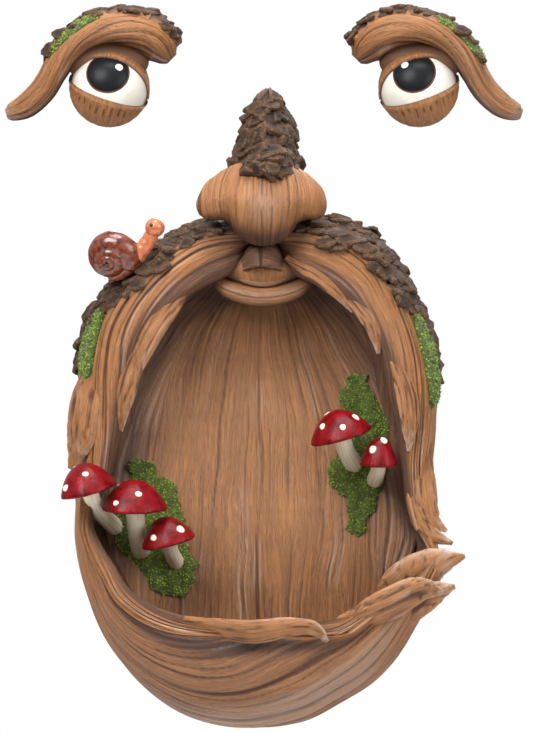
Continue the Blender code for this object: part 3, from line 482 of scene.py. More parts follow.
class Shell:
    """A closed surface in the making: points, faces, and named values at the points."""

    def __init__(self, grid, values, wrap_rows=False):
        rows, columns = grid.shape[:2]
        quads = grid_quads(rows, columns, wrap_rows)
        self.points = grid.reshape(-1, 3)
        self.faces = [tuple(q) for q in quads.tolist()]
        if not wrap_rows:
            last = (rows - 1) * columns
            self.faces += [tuple(range(columns)), tuple(range(last + columns - 1, last - 1, -1))]
        if is_inside_out(self.points, quads):
            self.faces = [face[::-1] for face in self.faces]
        self.values = {}
        for name, value in values.items():
            wide = np.broadcast_to(value, (rows, columns) + np.shape(value)[2:])
            self.values[name] = wide.reshape((-1,) + np.shape(value)[2:])


def sweep_frame(line, beside):
    """Points along a drawn line in metres, and two directions square to it at each."""
    centre = at(*line[:, :3].T)
    heading = unit(np.gradient(centre, axis=0))
    side = unit(np.cross(heading, beside))
    return centre, side, np.cross(heading, side)


def swept(centre, side, other, x, y):
    """A grid of sections drawn in millimetres at points in metres."""
    return centre[:, None] + (side[:, None] * x[..., None] + other[:, None] * y[..., None]) * MM


def added(name, data):
    """A new object in the scene."""
    made = bpy.data.objects.new(name, data)
    bpy.context.scene.collection.objects.link(made)
    return made


def applied(piece):
    """The mesh that a piece's modifiers make. They are then removed."""
    bpy.context.view_layer.update()
    graph = bpy.context.evaluated_depsgraph_get()
    mesh = bpy.data.meshes.new_from_object(piece.evaluated_get(graph))
    piece.modifiers.clear()
    return mesh


def mesh_from(bm, name):
    """A new mesh from a bmesh, which is then freed."""
    mesh = bpy.data.meshes.new(name)
    bm.to_mesh(mesh)
    bm.free()
    return mesh


def made_piece(name, shells, paints):
    """One object of several closed shells, with their values as attributes."""
    points = np.concatenate([shell.points for shell in shells])
    faces, start = [], 0
    for shell in shells:
        faces += [tuple(i + start for i in face) for face in shell.faces]
        start += len(shell.points)
    mesh = bpy.data.meshes.new(name)
    mesh.from_pydata(points.tolist(), [], faces)
    for value in sorted({key for shell in shells for key in shell.values}):
        wide = value == "grain"
        attribute = mesh.attributes.new(value, "FLOAT_VECTOR" if wide else "FLOAT", "POINT")
        blank = (0.0,) * 3 if wide else 0.0
        parts = []
        for shell in shells:
            count = len(shell.points)
            parts.append(shell.values.get(value, np.full((count,) + np.shape(blank), blank)))
        data = np.concatenate(parts).astype(np.float32).ravel()
        attribute.data.foreach_set("vector" if wide else "value", data)
    mesh.shade_smooth()
    for paint in paints:
        mesh.materials.append(paint)
    return added(name, mesh)


def placed(piece, slot, *nodes):
    """The piece rides with the castings and stands for its nodes."""
    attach(piece, "root")
    if nodes:
        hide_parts(*nodes)
    return piece


# Paint


def link(tree, start, end):
    tree.links.new(start, end)


def feed(tree, value, socket):
    """Gives a socket another socket or a plain value."""
    if isinstance(value, bpy.types.NodeSocket):
        link(tree, value, socket)
    else:
        socket.default_value = value


def set_inputs(tree, made, **inputs):
    """Feeds a node's inputs by name."""
    for name, value in inputs.items():
        feed(tree, value, made.inputs[name.replace("_", " ")])
    return made


def node(tree, kind, **inputs):
    return set_inputs(tree, tree.nodes.new(kind), **inputs)


def add_sockets(group, way, sockets):
    """A group's sockets, each with a default number, vector or colour, or else the kind's name."""
    kinds = {1: "Float", 3: "Vector", 4: "Color"}
    for label, default in sockets.items():
        plain = isinstance(default, str)
        kind = "NodeSocket" + (default if plain else kinds[np.size(default)])
        made = group.interface.new_socket(label, in_out=way, socket_type=kind)
        if not plain:
            made.default_value = default


def shader_group(name, inputs, outputs):
    """An empty shader group with its sockets."""
    group = bpy.data.node_groups.new(name, "ShaderNodeTree")
    add_sockets(group, "INPUT", inputs)
    add_sockets(group, "OUTPUT", outputs)
    return group, group.nodes.new("NodeGroupInput"), group.nodes.new("NodeGroupOutput")


def blend(tree, factor, first, second):
    """A colour mix. Each argument is a socket or a plain value."""
    made = tree.nodes.new("ShaderNodeMix")
    made.data_type = "RGBA"
    for slot, value in ((0, factor), (6, first), (7, second)):
        feed(tree, value, made.inputs[slot])
    return made.outputs[2]


def sums(tree, operation, first, second, clamp=False):
    made = tree.nodes.new("ShaderNodeMath")
    made.operation = operation
    made.use_clamp = clamp
    for socket, value in zip(made.inputs, (first, second)):
        feed(tree, value, socket)
    return made.outputs[0]


def times(tree, first, second, clamp=False):
    return sums(tree, "MULTIPLY", first, second, clamp)


def plus(tree, first, second):
    return sums(tree, "ADD", first, second)


def band(tree, value, low, high):
    """A soft step from 0 at low to 1 at high."""
    made = node(tree, "ShaderNodeMapRange", Value=value, From_Min=low, From_Max=high)
    made.interpolation_type = "SMOOTHSTEP"
    return made.outputs["Result"]


def grain_group():
    """Fine streaks that run along the carving, and the height of the brush and tool marks."""
    group, given, out = shader_group(
        "Fine grain",
        {"Grain": (0, 0, 0), "Stretch": 0.06, "Scale": 1.0},
        {"Streak": "Float", "Hair": "Float", "Height": "Float"},
    )
    split = group.nodes.new("ShaderNodeSeparateXYZ")
    link(group, given.outputs["Grain"], split.inputs[0])
    joined = group.nodes.new("ShaderNodeCombineXYZ")
    link(group, times(group, split.outputs[0], given.outputs["Stretch"]), joined.inputs[0])
    link(group, split.outputs[1], joined.inputs[1])
    link(group, split.outputs[2], joined.inputs[2])
    coarse = node(group, "ShaderNodeTexNoise", Detail=4.0, Roughness=0.6)
    fine = node(group, "ShaderNodeTexNoise", Detail=3.0, Roughness=0.6)
    for texture, factor in ((coarse, 0.55), (fine, 1.7)):
        link(group, joined.outputs[0], texture.inputs["Vector"])
        link(group, times(group, given.outputs["Scale"], factor), texture.inputs["Scale"])
    link(group, band(group, coarse.outputs["Fac"], 0.25, 0.8), out.inputs["Streak"])
    apart = sums(group, "ABSOLUTE", sums(group, "SUBTRACT", coarse.outputs["Fac"], 0.5), 0.0)
    link(group, sums(group, "SUBTRACT", 1.0, band(group, apart, 0.004, 0.03)), out.inputs["Hair"])
    lines = band(group, fine.outputs["Fac"], 0.38, 0.62)
    height = plus(group, times(group, lines, 0.6), coarse.outputs["Fac"])
    link(group, height, out.inputs["Height"])
    return group


def wash_group():
    """Paint in layers: two browns, a dark wash in the cuts with painted shade, and a pale rub on the
    ridges with painted highlights.
    """
    group, given, out = shader_group(
        "Wash and rub",
        {
            "Light": (0.5, 0.25, 0.1, 1), "Mid": (0.3, 0.13, 0.05, 1), "Dark": (0.06, 0.03, 0.025, 1),
            "Pale": (0.7, 0.6, 0.5, 1), "Line": (0.09, 0.03, 0.02, 1), "Streak": 0.5, "Hair": 0.0,
            "Cut": 0.0, "Wash": 0.0, "Rub": 0.0,
        },
        {"Color": "Color", "Roughness": "Float"},
    )
    get = given.outputs
    wood = blend(group, times(group, get["Streak"], 0.6), get["Light"], get["Mid"])
    lined = times(group, band(group, get["Cut"], 0.3, 1.0), 0.9)
    wood = blend(group, times(group, get["Hair"], 0.36), wood, get["Line"])
    wood = blend(group, lined, wood, get["Line"])
    # The dark wash here is also painted shade, wherever the wash value says.
    wash_and_shade = times(group, get["Wash"], plus(group, times(group, get["Streak"], 0.35), 0.7), True)
    painted = blend(group, times(group, wash_and_shade, 0.92), wood, get["Dark"])
    # The pale rub here is also painted highlight, wherever the rub value says.
    rub_and_highlight = times(group, get["Rub"], plus(group, times(group, get["Streak"], 0.6), 0.35), True)
    link(group, blend(group, rub_and_highlight, painted, get["Pale"]), out.inputs["Color"])
    rough = plus(group, times(group, wash_and_shade, 0.12), 0.5)
    link(group, rough, out.inputs["Roughness"])
    return group


def colour(values):
    return (*values, 1.0)


def shared_group(name, maker):
    """A node group by name, made the first time that it is asked for."""
    return bpy.data.node_groups.get(name) or maker()


def group_node(tree, group):
    made = tree.nodes.new("ShaderNodeGroup")
    made.node_tree = group
    return made


def attribute(tree, name, output="Fac"):
    """A named value of the mesh."""
    made = tree.nodes.new("ShaderNodeAttribute")
    made.attribute_name = name
    return made.outputs[output]


def cloud(tree, scale, detail, roughness=0.5):
    """Noise over the object's own space, from 0 to 1."""
    place = tree.nodes.new("ShaderNodeTexCoord").outputs["Object"]
    return node(
        tree, "ShaderNodeTexNoise", Vector=place, Scale=scale, Detail=detail, Roughness=roughness
    ).outputs["Fac"]


def paint_named(name):
    """Turns a function that fills a material's tree into one that makes the material once."""

    def wrap(fill):
        def paint(scene):
            known = bpy.data.materials.get(name)
            if known:
                return known
            made = bpy.data.materials.new(name)
            made.use_nodes = True
            fill(scene, made.node_tree, made.node_tree.nodes["Principled BSDF"])
            return made

        return paint

    return wrap


def bumped(tree, shader, height, distance):
    """Adds fine relief to the shader, as high as a distance in metres."""
    bump = node(tree, "ShaderNodeBump", Distance=distance, Strength=1.0, Height=height)
    link(tree, bump.outputs["Normal"], shader.inputs["Normal"])


def bark_colour(tree, settings):
    """Bark's own colour at a point, dark with warmer and dusty patches, and its grit."""
    patch, grit = cloud(tree, 170.0, 5.0, 0.7), cloud(tree, 900.0, 4.0, 0.7)
    base = blend(tree, band(tree, patch, 0.35, 0.68), colour(settings.plate), colour(settings.warm))
    dusty = times(tree, band(tree, grit, 0.5, 0.75), 0.45)
    return blend(tree, dusty, base, colour(settings.dust)), grit


@paint_named("painted_resin_look")
def casting_paint(scene, tree, shader):
    """The painted resin of the castings, with bark where the bark value says so."""
    carving, bark = scene.tree_face_carving, scene.tree_face_bark
    grain = group_node(tree, shared_group("Fine grain", grain_group))
    link(tree, attribute(tree, "grain", "Vector"), grain.inputs["Grain"])
    wash = group_node(tree, shared_group("Wash and rub", wash_group))
    paints = {
        "Light": carving.tan, "Mid": carving.brown, "Dark": carving.wash_and_shade, "Pale": carving.rub,
        "Line": carving.line,
    }
    set_inputs(tree, wash, **{name: colour(value) for name, value in paints.items()})
    # The wash value carries a paint wash and painted shade; the rub value carries dry paint and painted
    # highlight.
    set_inputs(tree, wash, **{name: attribute(tree, name.lower()) for name in ("Cut", "Wash", "Rub")})
    set_inputs(tree, wash, Streak=grain.outputs["Streak"], Hair=grain.outputs["Hair"])
    barked = attribute(tree, "bark")
    rind, grit = bark_colour(tree, bark)
    rind = blend(tree, times(tree, attribute(tree, "cut"), 0.9), rind, colour(bark.crack))
    rind = blend(tree, times(tree, attribute(tree, "rub"), 0.8), rind, colour(bark.edge))
    skin = blend(tree, barked, wash.outputs["Color"], rind)
    rough = plus(tree, wash.outputs["Roughness"], times(tree, barked, 0.3))
    bumped(tree, shader, blend(tree, barked, grain.outputs["Height"], grit), carving.tool_marks)
    set_inputs(tree, shader, Base_Color=skin, Roughness=rough, Specular_IOR_Level=0.35)


@paint_named("bark_look")
def bark_paint(scene, tree, shader):
    """Loose plates of bark: each its own tone, rubbed along its edge."""
    settings = scene.tree_face_bark
    rind, grit = bark_colour(tree, settings)
    rind = blend(tree, times(tree, attribute(tree, "tone"), 0.45), rind, colour(settings.crack))
    edge = times(tree, times(tree, attribute(tree, "edge"), 0.55), band(tree, grit, 0.35, 0.6))
    rind = blend(tree, edge, rind, colour(settings.edge))
    set_inputs(tree, shader, Base_Color=rind, Roughness=0.72, Specular_IOR_Level=0.25)
    bumped(tree, shader, grit, 0.0005)


# Things strewn over a surface


def strewing_tree():
    """A tree that strews pieces over a surface, each leaning off it and turned its own way."""
    tree = bpy.data.node_groups.new("Strew pieces", "GeometryNodeTree")
    add_sockets(tree, "INPUT", {
        "Surface": "Geometry", "Pieces": "Collection", "Spacing": 0.003, "Density": 100000.0,
        "Smallest": 0.5, "Largest": 1.0, "Lean": 0.2, "Lean Spread": 0.1, "Turn Spread": 0.6,
        "Seed": "Int", "Material": "Material",
    })
    add_sockets(tree, "OUTPUT", {"Geometry": "Geometry"})
    given, out = tree.nodes.new("NodeGroupInput").outputs, tree.nodes.new("NodeGroupOutput")

    strewn = tree.nodes.new("GeometryNodeDistributePointsOnFaces")
    strewn.distribute_method = "POISSON"
    set_inputs(
        tree, strewn, Mesh=given["Surface"], Distance_Min=given["Spacing"],
        Density_Max=given["Density"], Seed=given["Seed"],
    )

    def chance(low, high, offset):
        """A random number for each piece."""
        made = tree.nodes.new("FunctionNodeRandomValue")
        feed(tree, low, made.inputs[2])
        feed(tree, high, made.inputs[3])
        link(tree, plus(tree, given["Seed"], float(offset)), made.inputs["Seed"])
        return made.outputs[1]

    lean = plus(tree, given["Lean"], times(tree, given["Lean Spread"], chance(-1.0, 1.0, 1)))
    side = times(tree, given["Lean Spread"], chance(-1.0, 1.0, 2))
    turn = times(tree, given["Turn Spread"], chance(-1.0, 1.0, 3))
    angles = node(tree, "ShaderNodeCombineXYZ", X=lean, Y=side, Z=turn)
    turned = tree.nodes.new("FunctionNodeEulerToRotation")
    link(tree, angles.outputs[0], turned.inputs[0])
    posed = tree.nodes.new("FunctionNodeRotateRotation")
    posed.rotation_space = "LOCAL"
    link(tree, strewn.outputs["Rotation"], posed.inputs[0])
    link(tree, turned.outputs[0], posed.inputs[1])

    pieces = node(
        tree, "GeometryNodeCollectionInfo", Collection=given["Pieces"], Separate_Children=True,
        Reset_Children=True,
    )
    copies = node(
        tree, "GeometryNodeInstanceOnPoints", Points=strewn.outputs["Points"],
        Instance=pieces.outputs[0], Pick_Instance=True, Rotation=posed.outputs[0],
        Scale=chance(given["Smallest"], given["Largest"], 4),
    )
    toned = tree.nodes.new("GeometryNodeStoreNamedAttribute")
    toned.domain = "INSTANCE"
    tone = chance(0.0, 1.0, 5)
    set_inputs(tree, toned, Geometry=copies.outputs[0], Name="tone", Value=tone)
    whole = node(tree, "GeometryNodeRealizeInstances", Geometry=toned.outputs[0])
    painted = node(
        tree, "GeometryNodeSetMaterial", Geometry=whole.outputs[0], Material=given["Material"]
    )
    link(tree, painted.outputs[0], out.inputs[0])
    return tree


def strew(name, surface, pieces, paint, **sizes):
    """A plain mesh of pieces strewn over a surface, in front of the wall. The surface is removed."""
    tree = shared_group("Strew pieces", strewing_tree)
    modifier = surface.modifiers.new("strew", "NODES")
    modifier.node_group = tree
    sockets = tree.interface.items_tree
    keys = {item.name: item.identifier for item in sockets if item.in_out == "INPUT"}
    for label, value in {"Pieces": pieces, "Material": paint, **sizes}.items():
        modifier[keys[label.replace("_", " ")]] = value
    mesh = applied(surface)
    bpy.data.objects.remove(surface)
    for vert in mesh.vertices:
        vert.co.y = min(vert.co.y, 0)
    mesh.name = name
    if not mesh.materials:
        mesh.materials.append(paint)
    return added(name, mesh)


def pile(name, meshes):
    """A collection that only holds things to strew."""
    group = bpy.data.collections.get(name)
    if not group:
        group = bpy.data.collections.new(name)
        for mesh in meshes():
            group.objects.link(bpy.data.objects.new(mesh.name, mesh))
    return group


# A flake's rings from below: share of its reach, height, and how rubbed it is there.
FLAKE_PROFILE = ((0.96, -0.16, 0.3), (1.0, 0.0, 1.0), (0.86, 0.075, 0.75), (0.45, 0.1, 0.0))


def bark_flakes():
    """Ragged plates about a unit across, thick at the lower edge, as a layer of bark breaks."""
    made = []
    for number in range(5):
        pick = np.random.default_rng(40 + number)
        corners = 11
        turns = full_turn(corners)[0] + pick.uniform(-0.16, 0.16, corners)
        reach = pick.uniform(0.36, 0.56, corners)
        wide = pick.uniform(1.0, 1.35)
        bm = bmesh.new()
        layer = bm.verts.layers.float.new("edge")
        rings = []
        for share, height, edge in FLAKE_PROFILE:
            x, y = reach * np.cos(turns) * share * wide, reach * np.sin(turns) * share
            z = height + pick.uniform(-0.025, 0.025, corners) - 0.06 * y
            ring = [bm.verts.new(p) for p in np.stack([x, y, z], -1)]
            for vert in ring:
                vert[layer] = edge
            rings.append(ring)
        for low, high in zip(rings, rings[1:]):
            for i in range(corners):
                j = (i + 1) % corners
                bm.faces.new((low[i], low[j], high[j], high[i]))
        bm.faces.new(rings[0][::-1])
        bm.faces.new(rings[-1])
        bmesh.ops.recalc_face_normals(bm, faces=bm.faces)
        made.append(mesh_from(bm, f"bark_flake_{number}"))
    return made


def moss_tufts():
    """Small ragged crumbs of flock, each with a few blades."""
    made = []
    for number in range(4):
        pick = np.random.default_rng(70 + number)
        bm = bmesh.new()
        bmesh.ops.create_icosphere(bm, subdivisions=1, radius=0.42)
        for vert in bm.verts:
            vert.co *= float(pick.uniform(0.6, 1.35))
        for _ in range(3):
            tip = Vector(pick.uniform(-0.75, 0.75, 2).tolist() + [float(pick.uniform(0.5, 1.1))])
            side = tip.cross(Vector((0.3, 0.2, 1))).normalized() * 0.09
            third = tip.cross(side).normalized() * 0.09
            root = [bm.verts.new(side), bm.verts.new(third - side), bm.verts.new(-third)]
            top = bm.verts.new(tip)
            bm.faces.new(root)
            for i in range(3):
                bm.faces.new((root[(i + 1) % 3], root[i], top))
        bmesh.ops.recalc_face_normals(bm, faces=bm.faces)
        made.append(mesh_from(bm, f"moss_tuft_{number}"))
    return made


# Sizes and colours that a user would change


def length_setting(name, description, default, least=0.0, most=0.01):
    return FloatProperty(
        name=name, description=description, default=default, min=least, max=most,
        unit="LENGTH", precision=5,
    )


def colour_setting(name, description, default):
    return FloatVectorProperty(
        name=name, description=description, default=default, size=3, min=0, max=1, subtype="COLOR"
    )


class CarvingSettings(bpy.types.PropertyGroup):
    """The castings' carving and its paint."""

    depth: FloatProperty(
        name="Carving Depth", description="How deep the grooves are cut, beside the usual depth",
        default=1.0, min=0, max=2, subtype="FACTOR",
    )
    tool_marks: length_setting("Tool Marks", "Height of the finest grain in the paint", 0.0005)
    tan: colour_setting("Tan", "Paint of the raised strands", (0.47, 0.205, 0.072))
    brown: colour_setting("Brown", "Paint between the strands", (0.27, 0.105, 0.040))
    line: colour_setting("Lines", "Paint in the cuts", (0.085, 0.030, 0.014))
    # Dark Wash is a paint wash in the hollows and also painted shade under the nose, brows and arch and
    # in the recesses.
    wash_and_shade: colour_setting("Dark Wash", "Wash in the hollows", (0.060, 0.033, 0.028))
    # Pale Rub is dry paint on the ridges and also painted highlight on the nose, the lips, the board
    # and the bowl's rim.
    rub: colour_setting("Pale Rub", "Dry paint on the ridges", (0.66, 0.53, 0.44))


class BarkSettings(bpy.types.PropertyGroup):
    """Plates of bark on the nose, the moustache and the brows."""

    plate_size: length_setting("Plate Size", "Width of the largest plates", 0.0130, most=0.03)
    spacing: length_setting("Plate Spacing", "Least distance between two plates", 0.0050)
    plate: colour_setting("Plate", "Colour of the bark", (0.026, 0.016, 0.011))
    warm: colour_setting("Warm Patches", "Browner patches of the bark", (0.070, 0.032, 0.016))
    dust: colour_setting("Dust", "Dry paint on the bark", (0.062, 0.037, 0.024))
    crack: colour_setting("Cracks", "Colour between the plates", (0.011, 0.008, 0.006))
    edge: colour_setting("Plate Edges", "Rubbed edges of the plates", (0.23, 0.125, 0.066))


class EyeSettings(bpy.types.PropertyGroup):
    """The eyeballs in their lids."""

    iris_radius: length_setting("Iris Radius", "Radius of the black iris", 0.0107, most=0.02)
    glint_radius: length_setting("Glint Radius", "Radius of the white glint", 0.0021)
    white: colour_setting("Eye White", "Colour of the eyeball", (0.80, 0.76, 0.68))
    black: colour_setting("Iris", "Colour of the iris", (0.010, 0.011, 0.012))


class ToadstoolSettings(bpy.types.PropertyGroup):
    """The toadstools."""

    dot_radius: length_setting("Dot Radius", "Radius of the largest white dots", 0.0021)
    red: colour_setting("Cap Red", "Colour of the caps", (0.20, 0.003, 0.006))
    cream: colour_setting("Stem Cream", "Colour of the stems", (0.84, 0.77, 0.60))


class SnailSettings(bpy.types.PropertyGroup):
    """The snail."""

    turns: FloatProperty(
        name="Shell Turns", description="Turns of the coil of the shell", default=2.6, min=1, max=4
    )
    shell: colour_setting("Shell", "Glaze of the shell", (0.20, 0.042, 0.018))
    skin: colour_setting("Body", "Colour of the body", (0.56, 0.17, 0.07))


class MossSettings(bpy.types.PropertyGroup):
    """The pads of moss."""

    tuft: length_setting("Tuft Size", "Width of the largest tufts", 0.0016)
    spacing: length_setting("Tuft Spacing", "Least distance between two tufts", 0.00094)
    seed: IntProperty(name="Seed", description="Another way to strew the tufts", default=4, min=0)
    light: colour_setting("Light Moss", "Colour of the bright tufts", (0.25, 0.36, 0.028))
    deep: colour_setting("Deep Moss", "Colour of the dark tufts", (0.045, 0.065, 0.009))


class StageSettings(bpy.types.PropertyGroup):
    """Floor, lights and camera."""

    distance: length_setting("Camera Distance", "From the backs of the castings", 3.2, 0.5, 10.0)
    floor: length_setting("Floor", "How far the floor lies below the castings", 0.16, 0.0, 1.0)
    key: FloatProperty(
        name="Key Light", description="Power of the main light", default=30.0, min=0, unit="POWER"
    )
    sky: FloatProperty(
        name="Sky", description="Strength of the even light all round", default=0.42, min=0
    )


# Castings


def ring_sections(angles, places):
    """Radius and forward of the ring's section, for each angle and each place from 0 to 12: 0 behind
    the wall, 2 the widest, 6 the crest, 8 the opening, 10 the pocket, and 12 behind the board."""
    outer, opening, share = outer_radius(angles), opening_radius(angles), crest_share(angles)
    bowl = np.clip(share, 0, 1)
    band_width = outer - opening
    crest = mix(ARCH_FORWARD, BOWL_FORWARD, share)
    half_rim = mix(band_width * 0.46, RIM_THICKNESS / 2, bowl**0.5)
    crest_radius = opening + half_rim
    wide = mix(ARCH_WIDEST, BOWL_POCKET, bowl)
    pocket = mix(opening + ARCH_UNDERCUT, outer - BOWL_WALL, bowl)
    pocket_forward = mix(ARCH_POCKET, BOWL_POCKET, bowl)
    foot = outer - mix(ARCH_BACK_TUCK, BOWL_BACK_TUCK, bowl)
    knots = [
        (foot, BEHIND_WALL + 0 * foot),
        (mix(foot, outer, 0.75), wide * 0.42),
        (outer, wide),
        (mix(crest_radius, outer, 0.86), mix(wide, crest, 0.42)),
        (mix(crest_radius, outer, 0.56), mix(wide, crest, 0.78)),
        (crest_radius + half_rim * 0.45, crest - CREST_ROLL),
        (crest_radius, crest),
        (opening + half_rim * 0.35, crest - CREST_ROLL),
        (opening, crest - mix(9.0, 6.0, bowl)),
        (mix(opening, pocket, 0.55), mix(pocket_forward, crest, 0.45)),
        (pocket, pocket_forward),
        (pocket - 7.0, BACK_WALL + mix(7.0, 10.0, bowl)),
        (pocket - 22.0, BEHIND_WALL + 0 * foot),
    ]
    radii = np.stack([r for r, _ in knots], -1)
    forwards = np.stack([f for _, f in knots], -1)
    steps = np.arange(len(knots), dtype=float)
    return tuple(hermite(steps, v, np.gradient(v, axis=-1), places) for v in (radii, forwards))


def ring_points(angles, places):
    radius, forward = ring_sections(angles, places)
    turn = np.radians(angles)[:, None]
    return at(MOUTH[0] + radius * np.cos(turn), MOUTH[1] + radius * np.sin(turn), forward)


def bark_on_arch(angle, place):
    """How barky the arch is, from 0 to 1, with ragged ends."""
    found = np.zeros(np.broadcast(angle, place).shape)
    turn = angle % 360
    fray = 3 * noise(turn / 4.0, place * 1.4, 90)
    for patch in ARCH_BARK:
        low, high = patch[0][0], patch[-1][0]
        reach = np.interp(turn, [a for a, _ in patch], [r for _, r in patch])
        reach = reach + 0.5 * noise(turn / 3.2, 2.0, 91) + 0.25 * noise(turn / 1.1, 3.0, 92)
        ends = smooth(low, low + 2, turn + fray) * fall(high - 2, high, turn + fray)
        within = fall(reach - 0.15, reach, place) * smooth(0.25, 0.6, place)
        found = np.maximum(found, ends * within)
    return found


def arch_and_bowl(depth):
    """The moustache arch and the bowl in one loop, its strands running round the mouth."""
    steps = 400
    angles = 90 - 360 * np.arange(steps) / steps
    places = np.concatenate([
        np.linspace(0, 0.5, 4, endpoint=False), np.linspace(0.5, 7.2, 150, endpoint=False),
        np.linspace(7.2, 10, 22, endpoint=False), np.linspace(10, 12, 6),
    ])
    angle, place = angles[:, None], places[None, :]
    bowl = np.clip(crest_share(angles), 0, 1)[:, None]
    clockwise, anticlockwise = 90 - angle, 270 + angle  # degrees from the top
    swing = np.where(clockwise > 180, anticlockwise, clockwise)
    right = clockwise < BREAK
    run = np.where(right, clockwise, anticlockwise)

    def swell(shape):
        height, middle, width = shape
        return height * bell(swing, middle, width)

    drift = 2.0 * smooth(0, 115, run) + np.where(right, 0, 2.6) * smooth(105, 245, run)
    across = (place - drift) * mix(10, 21, bowl) + np.where(right, 60, 0)
    along = run * 2.0
    height, cut, rub = carve(across, along, *RING_CARVING, 3)
    trough = noise(along / 80, across / 14, 77)
    inner = smooth(6.5, 7.3, place)
    strength = mix(1.0, 1.45, bowl) * smooth(0.2, 1.2, place) * (1 - inner)
    roll = swell(ARCH_ROLL) * smooth(3.2, 5.4, place) * fall(7, 8.2, place)
    parting = swell(OUTER_PARTING) * smooth(2, 4, place) * (1 - inner)
    parting = parting + swell(INNER_PARTING) * smooth(5.0, 6.4, place) * fall(8.6, 10, place)
    band_edge = 4.75 + 0.25 * noise(along / 50, 0.0, 76)
    band_cut = bell(place, band_edge, 0.16) * bowl * smooth(95, 120, run) * fall(185, 215, run)
    barked = bark_on_arch(angle, place)
    radius, forward = ring_sections(angles, places)
    relief, cracks = bark_relief(np.radians(angle) * 115, radius + 0.4 * forward, 5)
    waves = mix(0.9, 2.3, bowl) * trough * strength / 1.3
    height = height * strength + waves + roll - parting - 1.5 * band_cut
    height = height + swell(BOWL_BELLY) * bowl * smooth(0.5, 2, place) * (1 - inner)
    height = mix(height, 0.75 * relief + roll, barked)
    grid = carved(ring_points(angles, places), height * depth, wrap_rows=True)
    # Painted shade, in the wash: darker in the troughs, below the bowl's rim band, at the ring's foot
    # by the wall, under the nose, on the arch's inner wall, deep in the bowl and along the bark's edge.
    shaded = 0.8 * smooth(0.12, 0.65, -trough) * mix(0.35, 1.0, bowl)
    rim_band = bowl * smooth(4.8, 5.2, place) * fall(6.6, 7.1, place)
    shaded = shaded + 0.54 * bowl * fall(4.6, 5.2, place) + 0.06
    shaded = shaded * (1 - rim_band)
    foot = 0.65 * fall(0.8, 3.2, place) * (0.7 + 0.3 * noise(along / 40, 3.0, 78))
    under_nose = swell(NOSE_SHADE)
    inner_edge_shade = smooth(6.2, 7.0, place) * (1 - bowl) + 0.55 * inner * bowl
    deep = 0.3 * smooth(9.0, 10.5, place) * bowl
    wash = np.clip(shaded + foot + under_nose + inner_edge_shade + deep + 0.7 * band_cut, 0, 1)
    wash = np.maximum(wash, 0.85 * fall(0, 0.5, barked) * smooth(0.0, 0.12, barked))
    # Painted highlight, in the rub: a pale line along the bowl's rim and on its raised rolls, added to
    # the dry paint on the shoulders, and none under the nose.
    rim = bell(place, 6.1, 0.3) * bowl * (0.3 + 0.5 * noise(along / 30, 1.0, 79))
    rub = rub * (1 - inner) + rim + 0.3 * smooth(0.35, 0.8, trough) * bowl
    rub = np.clip(rub, 0, 1) * (1 - np.clip(under_nose, 0, 1))
    values = {
        "cut": mix(np.clip(cut * (1 - inner) + 0.7 * band_cut, 0, 1), cracks, barked),
        "wash": wash * (1 - barked),
        "rub": mix(rub, smooth(0.2, 0.8, relief / 3.0 - 0.2) * 0.5, barked),
        "bark": barked,
        "grain": stacked(along, across, 0.0),
    }
    return Shell(grid, values, wrap_rows=True)


def back_of_mouth(depth):
    """The dished board behind the mouth, with strands that fan out below the lips."""
    columns, rows = 250, 170
    top, bottom = LIP_HEIGHT, MOUTH[1] - (float(outer_radius(-90)) - BOWL_BACK_TUCK - 7.0)
    up = np.linspace(top, bottom, rows)[:, None]
    away = MOUTH[1] - up
    reach = np.where(away > 0, MOUTH[1] - bottom + 1.0, 1.25 * (top - MOUTH[1]))
    half = (float(outer_radius(180)) - 10.0) * np.sqrt(np.maximum(0.02, 1 - (away / reach) ** 2))
    across = half * np.linspace(-1, 1, columns)[None, :]
    side = np.minimum(1.0, np.abs(across) / (float(opening_radius(180)) - 1.0))
    forward = BACK_WALL + DISH_SIDES * side**2.6
    forward = forward + DISH_TOP * np.maximum(0, (up + 70) / 60) ** 1.8
    forward = forward + DISH_FOOT * np.maximum(0, (-190 - up) / 40) ** 2
    spread = np.interp(-up, *FAN_SPREAD)
    fan = across / spread * 76
    fan = fan + 4.0 * noise(up / 46, fan / 24, 15) + 1.2 * noise(up / 19, fan / 9, 14)
    height, cut, rub = carve(fan, -up, *BOARD_CARVING, 31)
    wave = noise(up / 55, fan / 12, 16)
    fade = smooth(-9, -22, up)
    front = at(across, up, forward + (height + 0.8 * wave) * depth * fade)
    shadow = smooth(-95, -38, up + 10 * noise(fan / 14, 0.0, 17))
    turn = np.degrees(np.arctan2(up - MOUTH[1], across - MOUTH[0]))
    from_edge = opening_radius(turn) - np.hypot(across - MOUTH[0], up - MOUTH[1])
    # Painted shade, in the wash: darker near the opening under the arch and in the troughs; the board
    # also darkens towards the bottom.
    edge = (1 - smooth(2, 17, from_edge + 3 * noise(up / 20, across / 20, 18))) * smooth(-175, -150, up)
    low = smooth(-120, -190, up)
    wash = np.clip(0.48 * shadow + 0.85 * edge + 0.42 * low + 0.22 * smooth(0.2, 0.8, -wave), 0, 1)
    values = {
        "cut": cut * mix(0.8, 0.7, shadow), "wash": wash,
        # The middle of the board, clear of the shadow at the top and of the dark lower part, gets a
        # painted highlight through the rub.
        "rub": np.clip(rub * mix(1.1, 0.7, shadow) + 0.14 * (1 - shadow) * (1 - low), 0, 1),
        "bark": np.zeros(across.shape),
        "grain": stacked(-up, fan, 40.0),
    }
    flat = front[:, [-1, 0]]
    flat[..., 1] = -0.05 * MM
    return Shell(np.concatenate([front, flat], axis=1), with_plain_ends(values, 2))


def with_plain_ends(values, columns):
    """Values with some more columns of zeros."""
    ends = {key: np.zeros((v.shape[0], columns) + v.shape[2:]) for key, v in values.items()}
    return {key: np.concatenate([v, ends[key]], axis=1) for key, v in values.items()}


